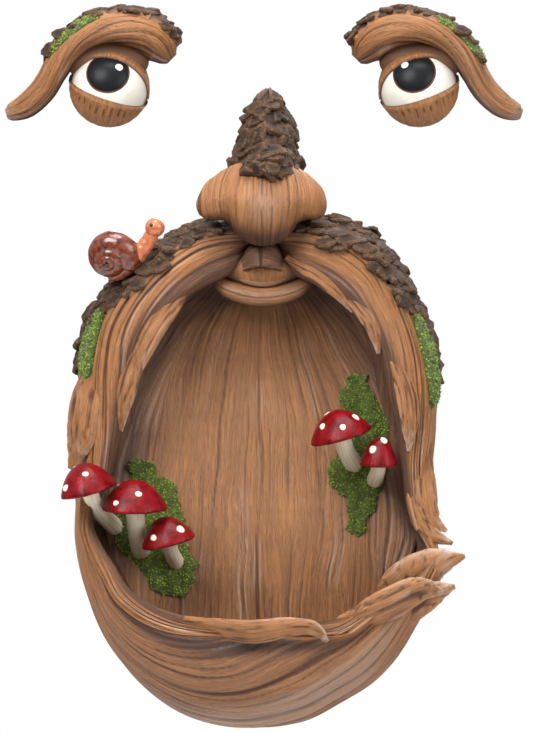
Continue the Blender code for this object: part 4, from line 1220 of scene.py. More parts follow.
def strand(spine, seed, depth, sides=30, samples=60):
    """A free strand that tapers to its tip, grooved along, with its edges and tip rubbed pale."""
    line = through(spine, samples)
    centre = at(*line[:, :3].T)
    heading = unit(np.gradient(centre, axis=0))
    radial = unit(stacked(line[:, 0] - MOUTH[0], 0, line[:, 1] - MOUTH[1]))
    facing = np.array([0.0, -1.0, 0.0]) + 0.5 * radial
    facing = unit(facing - heading * np.sum(facing * heading, axis=1, keepdims=True))
    side = np.cross(heading, facing)
    turn = full_turn(sides)
    half = line[:, 3][:, None]
    share = np.linspace(0, 1, samples)[:, None]
    wide = np.sign(np.cos(turn)) * np.abs(np.cos(turn)) ** 0.9 * half
    high = (np.sin(turn) + STRAND_LIFT) * half * STRAND_THICKNESS
    width = wide / 10 * 22
    height, cut, rub = carve(width + 50, share * 60, *STRAND_CARVING, seed)
    fade = np.minimum(1, half / 5) * fall(0.93, 1.0, share) * smooth(0, 0.05, share)
    grid = carved(swept(centre, side, facing, wide, high), height * fade * depth)
    side_edge = np.abs(np.cos(turn)) ** 6 * (np.sin(turn) > -0.5)
    tip = smooth(0.6, 0.95, share)
    worn = tip * smooth(-0.2, 0.5, noise(share * 14, width / 3, seed + 5))
    pale = side_edge * (0.35 + 0.6 * tip) + 0.75 * worn
    shade = 0.75 * smooth(0.1, -0.7, np.sin(turn)) + 0.25 * fall(0.1, 0.5, share)
    values = {
        "cut": cut * (1 - 0.6 * tip), "wash": np.clip(shade, 0, 1),
        "rub": np.clip(0.8 * rub + pale, 0, 1) * smooth(0.2, 0.55, share),
        "bark": 0.0, "grain": stacked(share * 60, width, 10.0 * seed),
    }
    return Shell(grid, values)


def nose(depth):
    """The nose: a bulb that melts into two wings, with upright strands over it."""
    rows, columns = 110, 210
    lean = np.linspace(0.006, math.pi - 0.006, rows)[:, None]
    turn = np.linspace(0, 360, columns, endpoint=False)[None, :]
    aim = np.radians(turn)
    oval = 1 / np.hypot(np.cos(aim) / NOSE_OVAL[0], np.sin(aim) / NOSE_OVAL[1])
    reach = mix(oval, nose_radius(turn), smooth(0.45, 1.0, np.sin(lean))) * np.sin(lean) ** 0.92
    across = NOSE_CENTRE[0] + reach * np.cos(aim)
    up = NOSE_CENTRE[1] + reach * np.sin(aim)
    flat = 1 + 1.3 * np.cos(aim) ** 2
    front = NOSE_BULGE * np.abs(np.cos(lean)) ** flat
    bulge = np.where(lean < math.pi / 2, front, NOSE_BACK * np.cos(lean))
    grid = at(across, up, NOSE_CENTRE[2] + bulge)
    line = (across - NOSE_CENTRE[0]) / np.sqrt(1.25 - np.clip((up - 18) / 26, -1, 1) ** 2)
    line = line + 1.0 * noise(up / 16, line / 7, 20) + 60
    height, cut, rub = carve(line, up + 60, *NOSE_CARVING, 52)
    height = height - 1.2 * bell(np.abs(across - 0.5), 20, 5) * smooth(20, 11, up)
    fade = smooth(0.02, 0.2, np.sin(lean))
    grid = carved(grid, height * fade * depth, gap=9)
    out_share = np.sin(lean) * (lean < math.pi / 2) + (lean >= math.pi / 2)
    # Painted shade, in the wash: darker under the bulb, on the wings, on the back and low down. Painted
    # highlight, in the rub: a pale shine on the middle of the bulb.
    below = smooth(0.45, 1.0, out_share) * smooth(15, 0, up)
    wing = smooth(0.8, 1.0, out_share) * np.abs(np.cos(aim)) * smooth(24, 12, up)
    back = smooth(math.pi / 2, math.pi / 2 + 0.3, lean)
    wash = np.clip(0.16 + 0.8 * below + 0.5 * wing + 0.5 * back + 0.3 * smooth(12, 0, up), 0, 1)
    shine = bell(across, 0.5, 9) * bell(up, 17, 8)
    values = {
        "cut": 0.8 * cut * fade, "wash": wash, "bark": 0.0, "grain": stacked(up, line, 90),
        "rub": np.clip(0.35 * rub + 0.3 * shine, 0, 1) * (1 - below),
    }
    return Shell(grid, values)


def nose_bark(depth):
    """Bark over the bridge of the nose, in plates, its lower edge torn into tongues."""
    line = through(BRIDGE, 100)
    turn = full_turn(150)
    up, centre, half, forward = (line[:, i][:, None] for i in range(4))
    front = np.maximum(0, np.sin(turn))
    tongues = 30.5 + 3.6 * np.sin(turn * 4.3 + 0.6) * front + 5.5 * np.abs(np.cos(turn)) ** 2
    tongues = tongues + 1.6 * noise(turn * 6, 0.0, 63)
    shown = smooth(tongues - 0.8, tongues + 0.8, up)
    wobble = 1 + 0.05 * noise(turn * 1.6, up / 11, 61)
    inset = mix(6.0, 0.0, shown)
    across = centre + (half - BARK_DEPTH - inset) * wobble * np.cos(turn)
    grid = at(across, up, (forward - inset) * wobble * np.sin(turn))
    relief, cracks = bark_relief(turn * 24, up, 60)
    height = relief * 0.55 * smooth(30, 34, up)
    grid = carved(grid, height * shown * depth)
    values = {
        "cut": cracks, "wash": 0.0, "bark": 1.0, "grain": stacked(turn * 24, up, 120),
        "rub": smooth(0.25, 0.8, relief / 3.2 - 0.15) * 0.55,
    }
    return Shell(grid, values)


def lip(points, radius, seed):
    """A smooth roll of a lip, tapering to its corners."""
    samples = 90
    centre, facing, lower = sweep_frame(through(points, samples), (0.0, 0.0, 1.0))
    share = np.linspace(-1, 1, samples)[:, None]
    taper = (1 - np.abs(share) ** 3.2) ** 0.6 * radius + 0.4
    turn = full_turn(30)
    grid = swept(centre, facing, lower, np.cos(turn) * taper, -np.sin(turn) * taper)
    # Painted shade and highlight: the lip darkens towards its ends and where it turns away from the
    # front, and is paler along its front.
    ends = smooth(0.55, 1.0, np.abs(share))
    front = np.abs(np.cos(turn))
    values = {
        "cut": 0.0, "bark": 0.0, "grain": stacked(share * 28, turn * 3, seed),
        "wash": np.clip(0.5 * ends + 0.7 * fall(0.15, 0.8, front) + 0.42, 0, 1),
        "rub": 0.22 * smooth(0.85, 1.0, front) * (1 - ends),
    }
    return Shell(grid, values)


def lip_bed():
    """The hollow between the halves of the moustache, behind the lips."""
    tall = np.linspace(0.02, math.pi - 0.02, 60)[:, None]
    turn = full_turn(80)
    (across, up, forward), (wide, high, thick) = LIP_BED
    narrow = mix(0.4, 1.0, smooth(0.3, 2.0, tall))
    grid = at(
        across + wide * narrow * np.sin(tall) * np.cos(turn), up + high * np.cos(tall),
        forward + thick * np.sin(tall) * np.sin(turn),
    )
    grain = stacked(tall * 12, turn * 20, 150)
    # Painted shade, in the wash: the hollow darkens towards its rim.
    rim = smooth(0.45, 0.85, np.abs(np.cos(turn))) + smooth(0.5, 0.95, np.cos(tall))
    wash = np.clip(0.22 + 0.7 * rim, 0, 1)
    return Shell(grid, {"cut": 0.0, "bark": 0.0, "rub": 0.0, "wash": wash, "grain": grain})


def keyhole(across, up):
    """A cutter for a hanging hole: a round hole with a slot above it."""
    meet = math.acos(SLOT_RADIUS / HOLE_RADIUS)
    big = math.pi - meet + (math.pi + 2 * meet) * np.linspace(0, 1, 25)
    small = math.pi * np.linspace(0, 1, 11)
    x = np.concatenate([HOLE_RADIUS * np.cos(big), SLOT_RADIUS * np.cos(small)])
    z = np.concatenate([HOLE_RADIUS * np.sin(big), SLOT_RISE + SLOT_RADIUS * np.sin(small)])
    grid = np.stack([at(across + x, up + z, forward) for forward in (-2.0, HOLE_DEPTH)])
    shell = Shell(grid, {})
    mesh = bpy.data.meshes.new("keyhole")
    mesh.from_pydata(shell.points.tolist(), [], shell.faces)
    return added("keyhole", mesh)


def with_keyhole(piece, across, up):
    """The piece with a hanging hole cut into its back."""
    cutter = keyhole(across, up)
    modifier = piece.modifiers.new("keyhole", "BOOLEAN")
    modifier.operation = "DIFFERENCE"
    modifier.solver = "EXACT"
    modifier.object = cutter
    piece.data = applied(piece)
    bpy.data.objects.remove(cutter)
    return piece


def brow_line(samples):
    """Cuts through the brow and the direction square to it at each, in the eye's own place."""
    line = through(BROW, samples)
    run = unit(np.gradient(line[:, :2], axis=0))
    return line, np.stack([-run[:, 1], run[:, 0]], -1)


def brow_points(centre, mirror, line, out, turn):
    """The points at given turns round the given cuts through the brow."""
    wide = np.sign(np.cos(turn)) * np.abs(np.cos(turn)) ** 0.75 * line[:, 2][:, None]
    high = np.sign(np.sin(turn)) * np.abs(np.sin(turn)) ** 0.85 * line[:, 3][:, None]
    across = line[:, 0][:, None] + out[:, 0][:, None] * wide
    up = line[:, 1][:, None] + out[:, 1][:, None] * wide
    return at(centre[0] + mirror * across, centre[1] + up, high)


def brow(centre, mirror, seed, depth):
    """A shaggy brow, swept along, with a hollow under its edge and bark over its top."""
    samples = 160
    turn = full_turn(104)
    grid = brow_points(centre, mirror, *brow_line(samples), turn)
    share = np.linspace(0, 1, samples)[:, None]
    degrees = np.degrees(turn)
    topside = smooth(0.3, 0.42, share) * fall(0.86, 0.93, share)
    fray = 8 * noise(share * 40, 0.0, seed + 2)
    lower_edge = mix(54, 46, share) + fray
    barked = topside * (1 - smooth(lower_edge - 6, lower_edge, np.where(degrees > 300, 0, degrees)))
    barked = barked * np.where((degrees > 120) & (degrees < 300), 0, 1)
    sweep = degrees / 180 * 26 + 9 * smooth(0.2, 0.9, share)
    height, cut, rub = carve(sweep, share * 120, *BROW_CARVING, seed)
    relief, cracks = bark_relief(share * 125, degrees * 0.42, seed + 6)
    height = mix(height * smooth(0, 0.06, share) * fall(0.95, 1, share), relief * 0.8, barked)
    grid = carved(grid, height * depth)
    # Painted shade, in the wash: the brow darkens on its underside.
    under = smooth(128, 152, degrees) * fall(190, 260, degrees)
    tip = fall(0.02, 0.14, share)
    patches = smooth(0.2, 0.8, noise(share * 6, sweep / 5, seed + 9))
    wash = np.clip(0.85 * under + 0.22 + 0.3 * patches, 0, 1)
    edge = bell(degrees, 132, 9) * smooth(-0.2, 0.5, noise(share * 9, 1.0, seed + 8))
    worn = mix(0.4 * rub + 0.5 * edge + 0.5 * tip, 0.4 * smooth(0.3, 0.8, relief / 3), barked)
    values = {
        "cut": mix(cut, cracks, barked), "wash": wash * (1 - barked), "rub": np.clip(worn, 0, 1),
        "bark": barked, "grain": stacked(share * 120, sweep, seed),
    }
    return Shell(grid, values)


def eye_frame(centre, mirror):
    """Turns a place given by the eye's corners' line into metres."""
    tilt = math.radians(EYE_TILT)

    def place(along, lift, forward):
        across = along * math.cos(tilt) + lift * math.sin(tilt)
        up = -along * math.sin(tilt) + lift * math.cos(tilt)
        return at(centre[0] + mirror * across, centre[1] + up, EYE_FORWARD + forward)

    return place


def lid_ticks(corner_share, angle_in, seed):
    """Short cuts across the lower lid, below its edge."""
    lines = np.round(corner_share * LID_TICKS)
    gap = np.abs(corner_share * LID_TICKS - lines)
    starts = 9 + 5 * noise(lines * 3.7, 0.0, seed)
    ends = starts + 17 + 7 * noise(lines * 2.9, 1.0, seed)
    reach = smooth(starts, starts + 3, angle_in) * fall(ends - 5, ends, angle_in)
    middle = smooth(0.12, 0.25, corner_share) * fall(0.75, 0.88, corner_share)
    return bell(gap, 0, 0.11) * reach * middle


def lid(centre, mirror, low, high, seed, lower, depth):
    """One eyelid: a wedge of a hollow ball between two meridians, with a rounded edge."""
    place = eye_frame(centre, mirror)
    rows, over = 96, 66
    corner = np.linspace(0.03, math.pi - 0.03, rows)[:, None]
    share = np.linspace(0, 1, over)[None, :]
    sag = np.degrees(np.arcsin(np.minimum(0.95, 0.142 / np.sin(corner)))) - 8.2
    turn = np.radians(mix(low, high - sag, share) if lower else mix(low, high, share))
    edge_share = 1 - share if lower else share
    edge = turn[:, -1:] if lower else turn[:, :1]
    angle_in = np.degrees(np.abs(turn - edge))
    height, cut, rub = carve(corner * 20, angle_in * 0.4, *LID_CARVING, seed)
    ticks = lid_ticks(corner / math.pi, angle_in, seed) if lower else 0
    radius = EYE_RADIUS + (height - 0.7 * ticks) * depth
    radius = radius - 0.9 * fall(0, 0.03, edge_share) + 0.5 * bell(edge_share, 0.05, 0.035)
    around, out = np.cos(corner), np.sin(corner)
    outer = place(-around * radius, out * radius * np.sin(turn), out * radius * np.cos(turn))
    inner_radius = EYE_RADIUS - LID_THICKNESS
    back = np.broadcast_to(turn, (rows, over))[:, ::-12]
    inner = place(
        -around * inner_radius, out * inner_radius * np.sin(back), out * inner_radius * np.cos(back)
    )
    grid = np.concatenate([outer, inner], axis=1)
    grid[..., 1] = np.minimum(grid[..., 1], (0.5 - EYE_PLATE) * MM)
    # Painted shade, in the wash: darker at the lid's edge against the eyeball and further back, where
    # the lid goes under the brow or round the ball.
    dark_edge = fall(0.0, 0.035, edge_share) * 0.7
    hidden_shade = smooth(50, 100, angle_in) * 0.5 if lower else smooth(14, 34, angle_in) * 0.75
    wash = np.clip(0.12 + dark_edge + hidden_shade + 0 * corner, 0, 1)
    values = {
        "cut": np.clip(0.45 * cut + 1.2 * ticks, 0, 1), "wash": wash, "rub": 0.35 * rub,
        "bark": 0 * wash, "grain": stacked(angle_in * 0.4, corner * 20, seed + 0 * wash),
    }
    return Shell(grid, with_plain_ends(values, inner.shape[1]))


def ball_shell(centre, radii, values, rows=48, columns=72, back=0.0, front=99.0):
    """A closed ellipsoid from drawn sizes, cut flat behind and before."""
    tall = np.linspace(0.02, math.pi - 0.02, rows)[:, None]
    turn = full_turn(columns)
    grid = at(
        centre[0] + radii[0] * np.sin(tall) * np.cos(turn), centre[1] + radii[1] * np.cos(tall),
        centre[2] + radii[2] * np.sin(tall) * np.sin(turn),
    )
    grid[..., 1] = np.clip(grid[..., 1], -front * MM, -back * MM)
    return Shell(grid, values)


def lens(centre, aim, ball_radius, radius, lift, values, rows=14, columns=72):
    """A thin round cap that lies on a ball, aimed across and up from the ball's middle."""
    forward = math.sqrt(ball_radius**2 - aim[0] ** 2 - aim[1] ** 2)
    axis = Vector((aim[0], aim[1], forward)).normalized()
    turn_to = Vector((0, 0, 1)).rotation_difference(axis).to_matrix()
    widest = math.asin(min(0.999, radius / ball_radius))
    profile = [(widest * s, lift * (1 - s**6)) for s in np.linspace(0.02, 1, rows)]
    profile += [(widest * s, -1.2) for s in np.linspace(1, 0.02, 5)]
    grid = []
    for angle, raised in profile:
        reach = (ball_radius + raised) * math.sin(angle)
        ahead = (ball_radius + raised) * math.cos(angle)
        spots = [(reach * math.cos(a), reach * math.sin(a), ahead) for a in full_turn(columns)[0]]
        grid.append([turn_to @ Vector(spot) for spot in spots])
    across, up, forward = np.moveaxis(np.array(grid), -1, 0)
    return Shell(at(centre[0] + across, centre[1] + up, EYE_FORWARD + forward), values)


# Moss


def moss_pad(points, normals, depth, seed, root=1.6):
    """A ragged pad over a grid of points: thin at its torn edges and lumpy in the middle."""
    rows, columns = points.shape[:2]
    i = np.linspace(0, 1, rows)[:, None]
    j = np.linspace(0, 1, columns)[None, :]
    inward = np.minimum(np.minimum(i, 1 - i) * rows, np.minimum(j, 1 - j) * columns) / 9.0
    lump = 0.62 + 0.3 * noise(i * rows / 9, j * columns / 9, seed)
    lump = lump + 0.16 * noise(i * rows / 3, j * columns / 3, seed + 1)
    height = depth * lump * np.sqrt(np.clip(inward, 0, 1))
    top = points + normals * (height * MM)[..., None]
    under = points - normals * root * MM
    grid = np.concatenate([top, under[:, ::-1]], axis=1)
    grid[..., 1] = np.minimum(grid[..., 1], 0)
    return Shell(grid, {"tone": 0.2})


def width_at(outline, up):
    """Left and right ends of a closed outline at a height."""
    ends = []
    for (x0, z0), (x1, z1) in zip(outline, outline[1:] + outline[:1]):
        if (z0 - up) * (z1 - up) <= 0 and z0 != z1:
            ends.append(mix(x0, x1, (up - z0) / (z1 - z0)))
    return min(ends), max(ends)


def pad_in_hollow(outline, tree, seed):
    """Moss lying on the back of the hollow."""
    high, low = max(z for _, z in outline), min(z for _, z in outline)
    rows, columns = 64, 34
    points = np.zeros((rows, columns, 3))
    for row in range(rows):
        up = mix(high - 0.4, low + 0.4, row / (rows - 1))
        left, right = (
            end + 1.6 * float(noise(row / 4, y, seed)) + 0.8 * float(noise(row / 1.6, y, seed + 1))
            for end, y in zip(width_at(outline, up), (0.0, 5.0))
        )
        ground = -0.02
        for column in range(columns):
            across = mix(left, right, column / (columns - 1))
            hit = tree.ray_cast(Vector((across * MM, -0.2, up * MM)), Vector((0, 1, 0)))[0]
            if hit is not None:
                ground = hit.y
            points[row, column] = (across * MM, ground, up * MM)
    points[..., 1] = smoothed(points[..., 1])
    facing = np.zeros(points.shape)
    facing[..., 1] = -1.0
    return moss_pad(points, facing, HOLLOW_MOSS_DEPTH, seed)


def smoothed(values, rounds=6):
    """Softens a grid of numbers, so that moss bridges the grooves below it."""
    for _ in range(rounds):
        wide = np.pad(values, 1, mode="edge")
        values = (values * 4 + wide[:-2, 1:-1] + wide[2:, 1:-1] + wide[1:-1, :-2] + wide[1:-1, 2:]) / 8
    return values


def facing_forward(normals):
    return -normals if np.mean(normals[..., 1]) > 0 else normals


def pad_on_arch(patch, seed):
    """Moss that wraps the outer side of the arch."""
    first, last, low, high = patch
    rows, columns = 60, 26
    angles = np.linspace(first, last, rows)
    share = np.sin(math.pi * np.linspace(0.06, 0.94, rows)) ** 0.9
    share = share * (0.95 + 0.12 * noise(np.arange(rows) / 5, 0.0, seed))
    middle, half = (low + high) / 2, (high - low) / 2
    points = np.zeros((rows, columns, 3))
    ahead = np.zeros((rows, columns, 3))
    for row in range(rows):
        places = 12 * (middle + half * share[row] * np.linspace(-1, 1, columns))
        strip = ring_points(angles[row] + np.array([-0.5, 0, 0.5]), places)
        points[row] = strip[1]
        ahead[row] = surface_normals(strip, False, False)[1]
    ahead = facing_forward(ahead)
    points = points + ahead * ARCH_MOSS_LIFT * MM
    return moss_pad(points, ahead, ARCH_MOSS_DEPTH, seed, MOSS_ROOT + ARCH_MOSS_LIFT)


def pad_on_brow(centre, mirror, shares, degrees, seed):
    """Moss on a brow, between two of its cuts and over some of its sides."""
    rows, columns, samples = 56, 34, 210
    line, out = brow_line(samples)
    place = np.linspace(shares[0], shares[1], rows) * (samples - 1)
    steps = np.arange(float(samples))
    line, out = (
        np.stack([np.interp(place, steps, column) for column in cuts.T], -1) for cuts in (line, out)
    )
    ends = np.sin(math.pi * np.linspace(0.05, 0.95, rows)) ** 0.4
    ends = ends * (0.95 + 0.15 * noise(np.arange(rows) / 5, 0.0, seed))
    half = (degrees[1] - degrees[0]) / 2 * ends
    spread = half[:, None] * np.linspace(-1, 1, columns)[None, :]
    turn = np.radians((degrees[0] + degrees[1]) / 2 + spread)
    points = brow_points(centre, mirror, line, out, turn)
    ahead = facing_forward(surface_normals(points, False, False))
    return moss_pad(points, ahead, BROW_MOSS_DEPTH, seed, MOSS_ROOT)


@paint_named("moss_look")
def moss_paint(scene, tree, shader):
    """Green that is brighter where the tone is."""
    settings = scene.tree_face_moss
    patch = times(tree, cloud(tree, 260.0, 3.0, 0.6), 0.45)
    share = plus(tree, times(tree, attribute(tree, "tone"), 0.65), patch)
    green = blend(tree, band(tree, share, 0.25, 0.8), colour(settings.deep), colour(settings.light))
    set_inputs(tree, shader, Base_Color=green, Roughness=0.95, Sheen_Weight=0.25)


def mossy(name, pads, scene):
    """A pad of moss with tufts all over it."""
    settings = scene.tree_face_moss
    paint = moss_paint(scene)
    pad = made_piece(name, pads, [paint])
    ground = made_piece(name + "_ground", pads, [paint])
    tufts = strew(
        name + "_tufts", ground, pile("Moss tufts", moss_tufts), paint, Spacing=settings.spacing,
        Density=900000.0, Smallest=settings.tuft * 0.55, Largest=settings.tuft, Lean=0.0,
        Lean_Spread=0.7, Turn_Spread=3.14, Seed=settings.seed + len(name),
    )
    return joined(pad, tufts)


def joined(piece, *others):
    """One object from several, which keeps the first one's name."""
    both = [piece, *others]
    with bpy.context.temp_override(
        active_object=piece, object=piece, selected_objects=both, selected_editable_objects=both
    ):
        bpy.ops.object.join()
    return piece


# Toadstools


@paint_named("toadstool_look")
def toadstool_paint(scene, tree, shader):
    """Glossy red, cream or white by the value at each point, with dark splits at the cap's edge."""
    settings = scene.tree_face_toadstools
    red, pale = settings.red, attribute(tree, "pale")
    deep = (red[0] * 0.42, red[1] * 0.5, red[2] * 0.5, 1)
    cap = blend(tree, band(tree, cloud(tree, 180.0, 3.0), 0.35, 0.75), colour(red), deep)
    cap = blend(tree, attribute(tree, "split"), cap, SPLIT_PAINT)
    # The line colour marks the stem's lines and the gills, and is also painted shade under the cap and
    # at the stem's foot.
    stem = blend(tree, attribute(tree, "cut"), colour(settings.cream), STEM_LINE_AND_SHADE_PAINT)
    skin, rough = blend(tree, pale, cap, stem), plus(tree, times(tree, pale, 0.3), 0.3)
    set_inputs(tree, shader, Base_Color=skin, Roughness=rough, Specular_IOR_Level=0.16)
    bumped(tree, shader, cloud(tree, 1100.0, 2.0), 0.00018)


# A cap's section from its top over its rim to the stem, as shares of its radius and height.
CAP_PROFILE = [
    (0.02, 1.0), (0.2, 0.975), (0.38, 0.89), (0.56, 0.74), (0.72, 0.55), (0.86, 0.33), (0.95, 0.15),
    (1.0, 0.02), (0.995, -0.04), (0.96, -0.06), (0.9, -0.03), (0.78, 0.03), (0.5, 0.08), (0.24, 0.1),
    (0.02, 0.1),
]
CAP_RIM = 0.655  # share of the profile where the cap turns under
# A dot's rings, from its middle to its root: reach and lift, as shares of its radius.
DOT_PROFILE = (
    (0.02, 0.42), (0.4, 0.40), (0.75, 0.30), (0.94, 0.14), (1.0, -0.05), (0.9, -0.5), (0.02, -0.5),
)


def cap_shell(radius, height, turned, seed):
    """The cap of a toadstool, its edge split by short cuts."""
    profile = through(CAP_PROFILE, 54)
    columns = 104
    turn = full_turn(columns)
    share = np.linspace(0, 1, len(profile))[:, None]
    pick = np.random.default_rng(seed)
    splits = np.zeros((len(profile), columns))
    for centre in np.linspace(0, 2 * math.pi, 34, endpoint=False):
        centre = centre + pick.uniform(-0.07, 0.07)
        reach = pick.uniform(0.13, 0.3)
        gap = np.abs((turn - centre + math.pi) % (2 * math.pi) - math.pi)
        taper = smooth(0.60 - reach, 0.56, share)
        splits = np.maximum(splits, bell(gap, 0, 0.030 * (0.25 + 0.75 * taper)) * taper)
    splits = splits * fall(0.60, 0.66, share)
    dent = 1 - 0.035 * splits + 0.012 * noise(share * 7, turn * 2.4, seed)
    wave = 1 + 0.022 * np.sin(turn * 3 + seed) + 0.012 * np.sin(turn * 7 + seed * 2)
    r = profile[:, 0][:, None] * radius * dent * wave
    h = profile[:, 1][:, None] * height * dent + 0 * turn
    local = np.stack([r * np.cos(turn), r * np.sin(turn), h], -1) * MM
    moved = local.reshape(-1, 3) @ np.array(turned.to_3x3()).T + np.array(turned.translation)
    rim = bell(share, CAP_RIM, 0.022) * smooth(0.3, 0.9, 0.9 + 0.4 * noise(turn * 9, 0.0, seed))
    # The underside is cream with gill lines, and the cut value darkens it as painted shade under the
    # cap.
    below = smooth(0.63, 0.68, share)
    gills = 0.5 + 0.5 * np.sin(turn * 26 + seed)
    pale = np.clip(np.maximum(0.85 * rim, below), 0, 1) + 0 * turn
    values = {"pale": pale, "split": 0.9 * splits, "cut": below * (0.35 + 0.4 * gills) * (1 - rim)}
    return Shell(moved.reshape(local.shape), values)


def stem_shell(shape, ground, turned, seed):
    """A bent stem, wider at the foot, with a wash in its lines and painted shade under the cap and at
    its foot.
    """
    (across, up, forward), foot, _, cap_height, radius = shape[:5]
    top = np.array(turned @ Vector((0, 0, cap_height * 0.16 * MM))) / MM
    head = (top[0], top[2], -top[1])
    bend = (mix(across, foot[0], 0.35), mix(up, foot[1], 0.5), mix(forward, ground, 0.42))
    samples = 46
    line = through([head, bend, (foot[0], foot[1], ground - 3)], samples)
    turn = full_turn(60)
    share = np.linspace(0, 1, samples)[:, None]
    lines, _ = grooves(turn * 5, share * 20, 2.0, 16, seed, 2.0)
    girth = 1.18 * radius * (1 + 0.16 * share**3 + 0.1 * (1 - share) ** 4) * (1 - 0.07 * lines)
    grid = swept(*sweep_frame(line, (0.0, 1.0, 0.2)), girth * np.cos(turn), girth * np.sin(turn))
    # Painted shade, in the cut: the stem darkens just under the cap and at its foot.
    under_cap_shade = fall(0.0, 0.3, share)
    cut = np.clip(0.28 * lines + 0.2 * under_cap_shade + 0.35 * smooth(0.8, 1, share), 0, 1)
    return Shell(grid, {"pale": 1.0, "cut": cut})


def dot_shell(centre, normal, radius, seed):
    """A raised white dot on a cap."""
    turn = full_turn(28)
    side = unit(np.cross(normal, (0.13, 0.2, 0.97)))
    other = np.cross(normal, side)
    wobble = 1 + 0.07 * np.sin(turn * 2 + seed) + 0.05 * np.sin(turn * 3 + 2 * seed)
    rows = []
    for reach, lift in DOT_PROFILE:
        wide = reach * radius * wobble
        spot = side * (wide * np.cos(turn)).T + other * (wide * np.sin(turn)).T
        rows.append(np.array(centre) + (spot + np.array(normal) * lift * radius) * MM)
    return Shell(np.stack(rows), {"pale": 1.0, "cut": 0.0})


def toadstool(name, shape, ground_tree, scene, seed):
    """A cap with raised white dots on a bent stem, set on the moss."""
    (across, up, forward), foot, cap_radius, cap_height, _, lean, dots = shape
    settings = scene.tree_face_toadstools
    nod = Matrix.Rotation(math.radians(CAP_NOD), 4, "X")
    tip = Matrix.Rotation(math.radians(-lean), 4, "Y")
    turned = Matrix.Translation(at(across, up, forward).tolist()) @ tip @ nod
    cap = cap_shell(cap_radius, cap_height, turned, seed)
    tree = BVHTree.FromPolygons(cap.points.tolist(), cap.faces)
    hit = ground_tree.ray_cast(Vector((foot[0] * MM, -0.2, foot[1] * MM)), Vector((0, 1, 0)))[0]
    ground = -hit.y / MM if hit is not None else BACK_WALL
    shells = [cap, stem_shell(shape, ground, turned, seed)]
    pick = np.random.default_rng(seed + 3)
    middle = Vector(at(across, up + cap_height * 0.2, forward).tolist())
    rays = [(Vector((x * MM, -0.2, z * MM)), Vector((0, 1, 0))) for x, z in dots]
    for angle in (40, 95, 150):
        turn = math.radians(angle)
        aim = Vector((math.cos(turn), math.sin(turn), 0.75 + 0.3 * pick.random()))
        rays.append((middle + aim * 0.1, -aim))
    for start, aim in rays:
        spot, normal, _, _ = tree.ray_cast(start, aim)
        if spot is None:
            continue
        if normal.dot(aim) > 0:
            normal = -normal
        radius = settings.dot_radius / MM * float(pick.uniform(0.72, 1.0))
        shells.append(dot_shell(tuple(spot), np.array(normal), radius, seed))
    return placed(made_piece(name, shells, [toadstool_paint(scene)]), "toadstool_paint", name)


# Snail


@paint_named("snail_look")
def snail_paint(scene, tree, shader):
    """Glazed skin, with the shell darkened in the seam of its coil as painted shade."""
    settings = scene.tree_face_snail
    glaze, patch = settings.shell, cloud(tree, 420.0, 4.0)
    dark = (glaze[0] * 0.3, glaze[1] * 0.3, glaze[2] * 0.35, 1)
    shell = blend(tree, band(tree, patch, 0.35, 0.7), colour(glaze), dark)
    shell = blend(tree, attribute(tree, "cut"), shell, SEAM_SHADE_PAINT)
    skin = blend(tree, band(tree, patch, 0.4, 0.8), colour(settings.skin), SKIN_SHADE_PAINT)
    both = blend(tree, attribute(tree, "skin"), shell, skin)
    both = blend(tree, attribute(tree, "eye"), both, SNAIL_EYE_PAINT)
    set_inputs(tree, shader, Base_Color=both, Roughness=0.22, Coat_Weight=0.5, Coat_Roughness=0.08)
    bumped(tree, shader, patch, 0.0003)


def snail_shell_coil(turns):
    """A coiled shell, wound from its mouth up to the point at its middle."""
    samples, sides = 190, 40
    axis = np.array(Vector(SHELL_AXIS).normalized())
    side = unit(np.cross(axis, (0, 0, 1.0)))
    other = np.cross(axis, side)
    share = np.linspace(0, 1, samples)
    turn = math.radians(SHELL_MOUTH) + 2 * math.pi * turns * share
    growth = np.exp(-0.62 * turns * share)
    tube = SHELL_TUBE * growth
    reach = SHELL_REACH * growth**1.02
    rise = SHELL_RISE * (1 - growth)
    spine = side * (np.cos(turn) * reach)[:, None] + other * (np.sin(turn) * reach)[:, None]
    out = unit(spine)
    spine = spine + axis * (rise - 1.5)[:, None]
    around = full_turn(sides)[0]
    ripple = 1 + 0.012 * np.sin(turn * 11)[:, None]
    offset = out[:, None] * (np.cos(around) * tube[:, None] * ripple)[..., None]
    offset = offset + axis * (np.sin(around) * tube[:, None] * ripple)[..., None]
    grid = at(*SHELL_AT) + (spine[:, None] + offset) * MM
    # The seams between the whorls are painted near black, a painted shade.
    seam = bell(around, 2.5, 0.34) + bell(around, 5.75, 0.3)
    return Shell(grid, {"cut": 0.8 * seam[None, :], "skin": 0.0, "eye": 0.0})


def snail_body():
    """The foot under the shell, the neck and the round head with its eye."""
    samples = 60
    line = through(SNAIL_BODY, samples)
    turn = full_turn(36)
    girth = line[:, 3][:, None] * (1 + 0.03 * np.sin(np.linspace(0, 60, samples)))[:, None]
    grid = swept(*sweep_frame(line, (0.0, -1.0, 0.0)), girth * np.cos(turn), girth * np.sin(turn))
    body = Shell(grid, {"skin": 1.0, "cut": 0.0, "eye": 0.0})
    head = ball_shell(HEAD_AT, (4.9, 4.9, 4.9), {"skin": 1.0, "cut": 0.0, "eye": 0.0})
    spot = (HEAD_AT[0] - 1.7, HEAD_AT[1] + 1.2, HEAD_AT[2] + 4.3)
    eye = ball_shell(spot, (1.0, 1.0, 0.8), {"skin": 1.0, "cut": 0.0, "eye": 1.0}, rows=14, columns=20)
    return [body, head, eye]


# Eyes


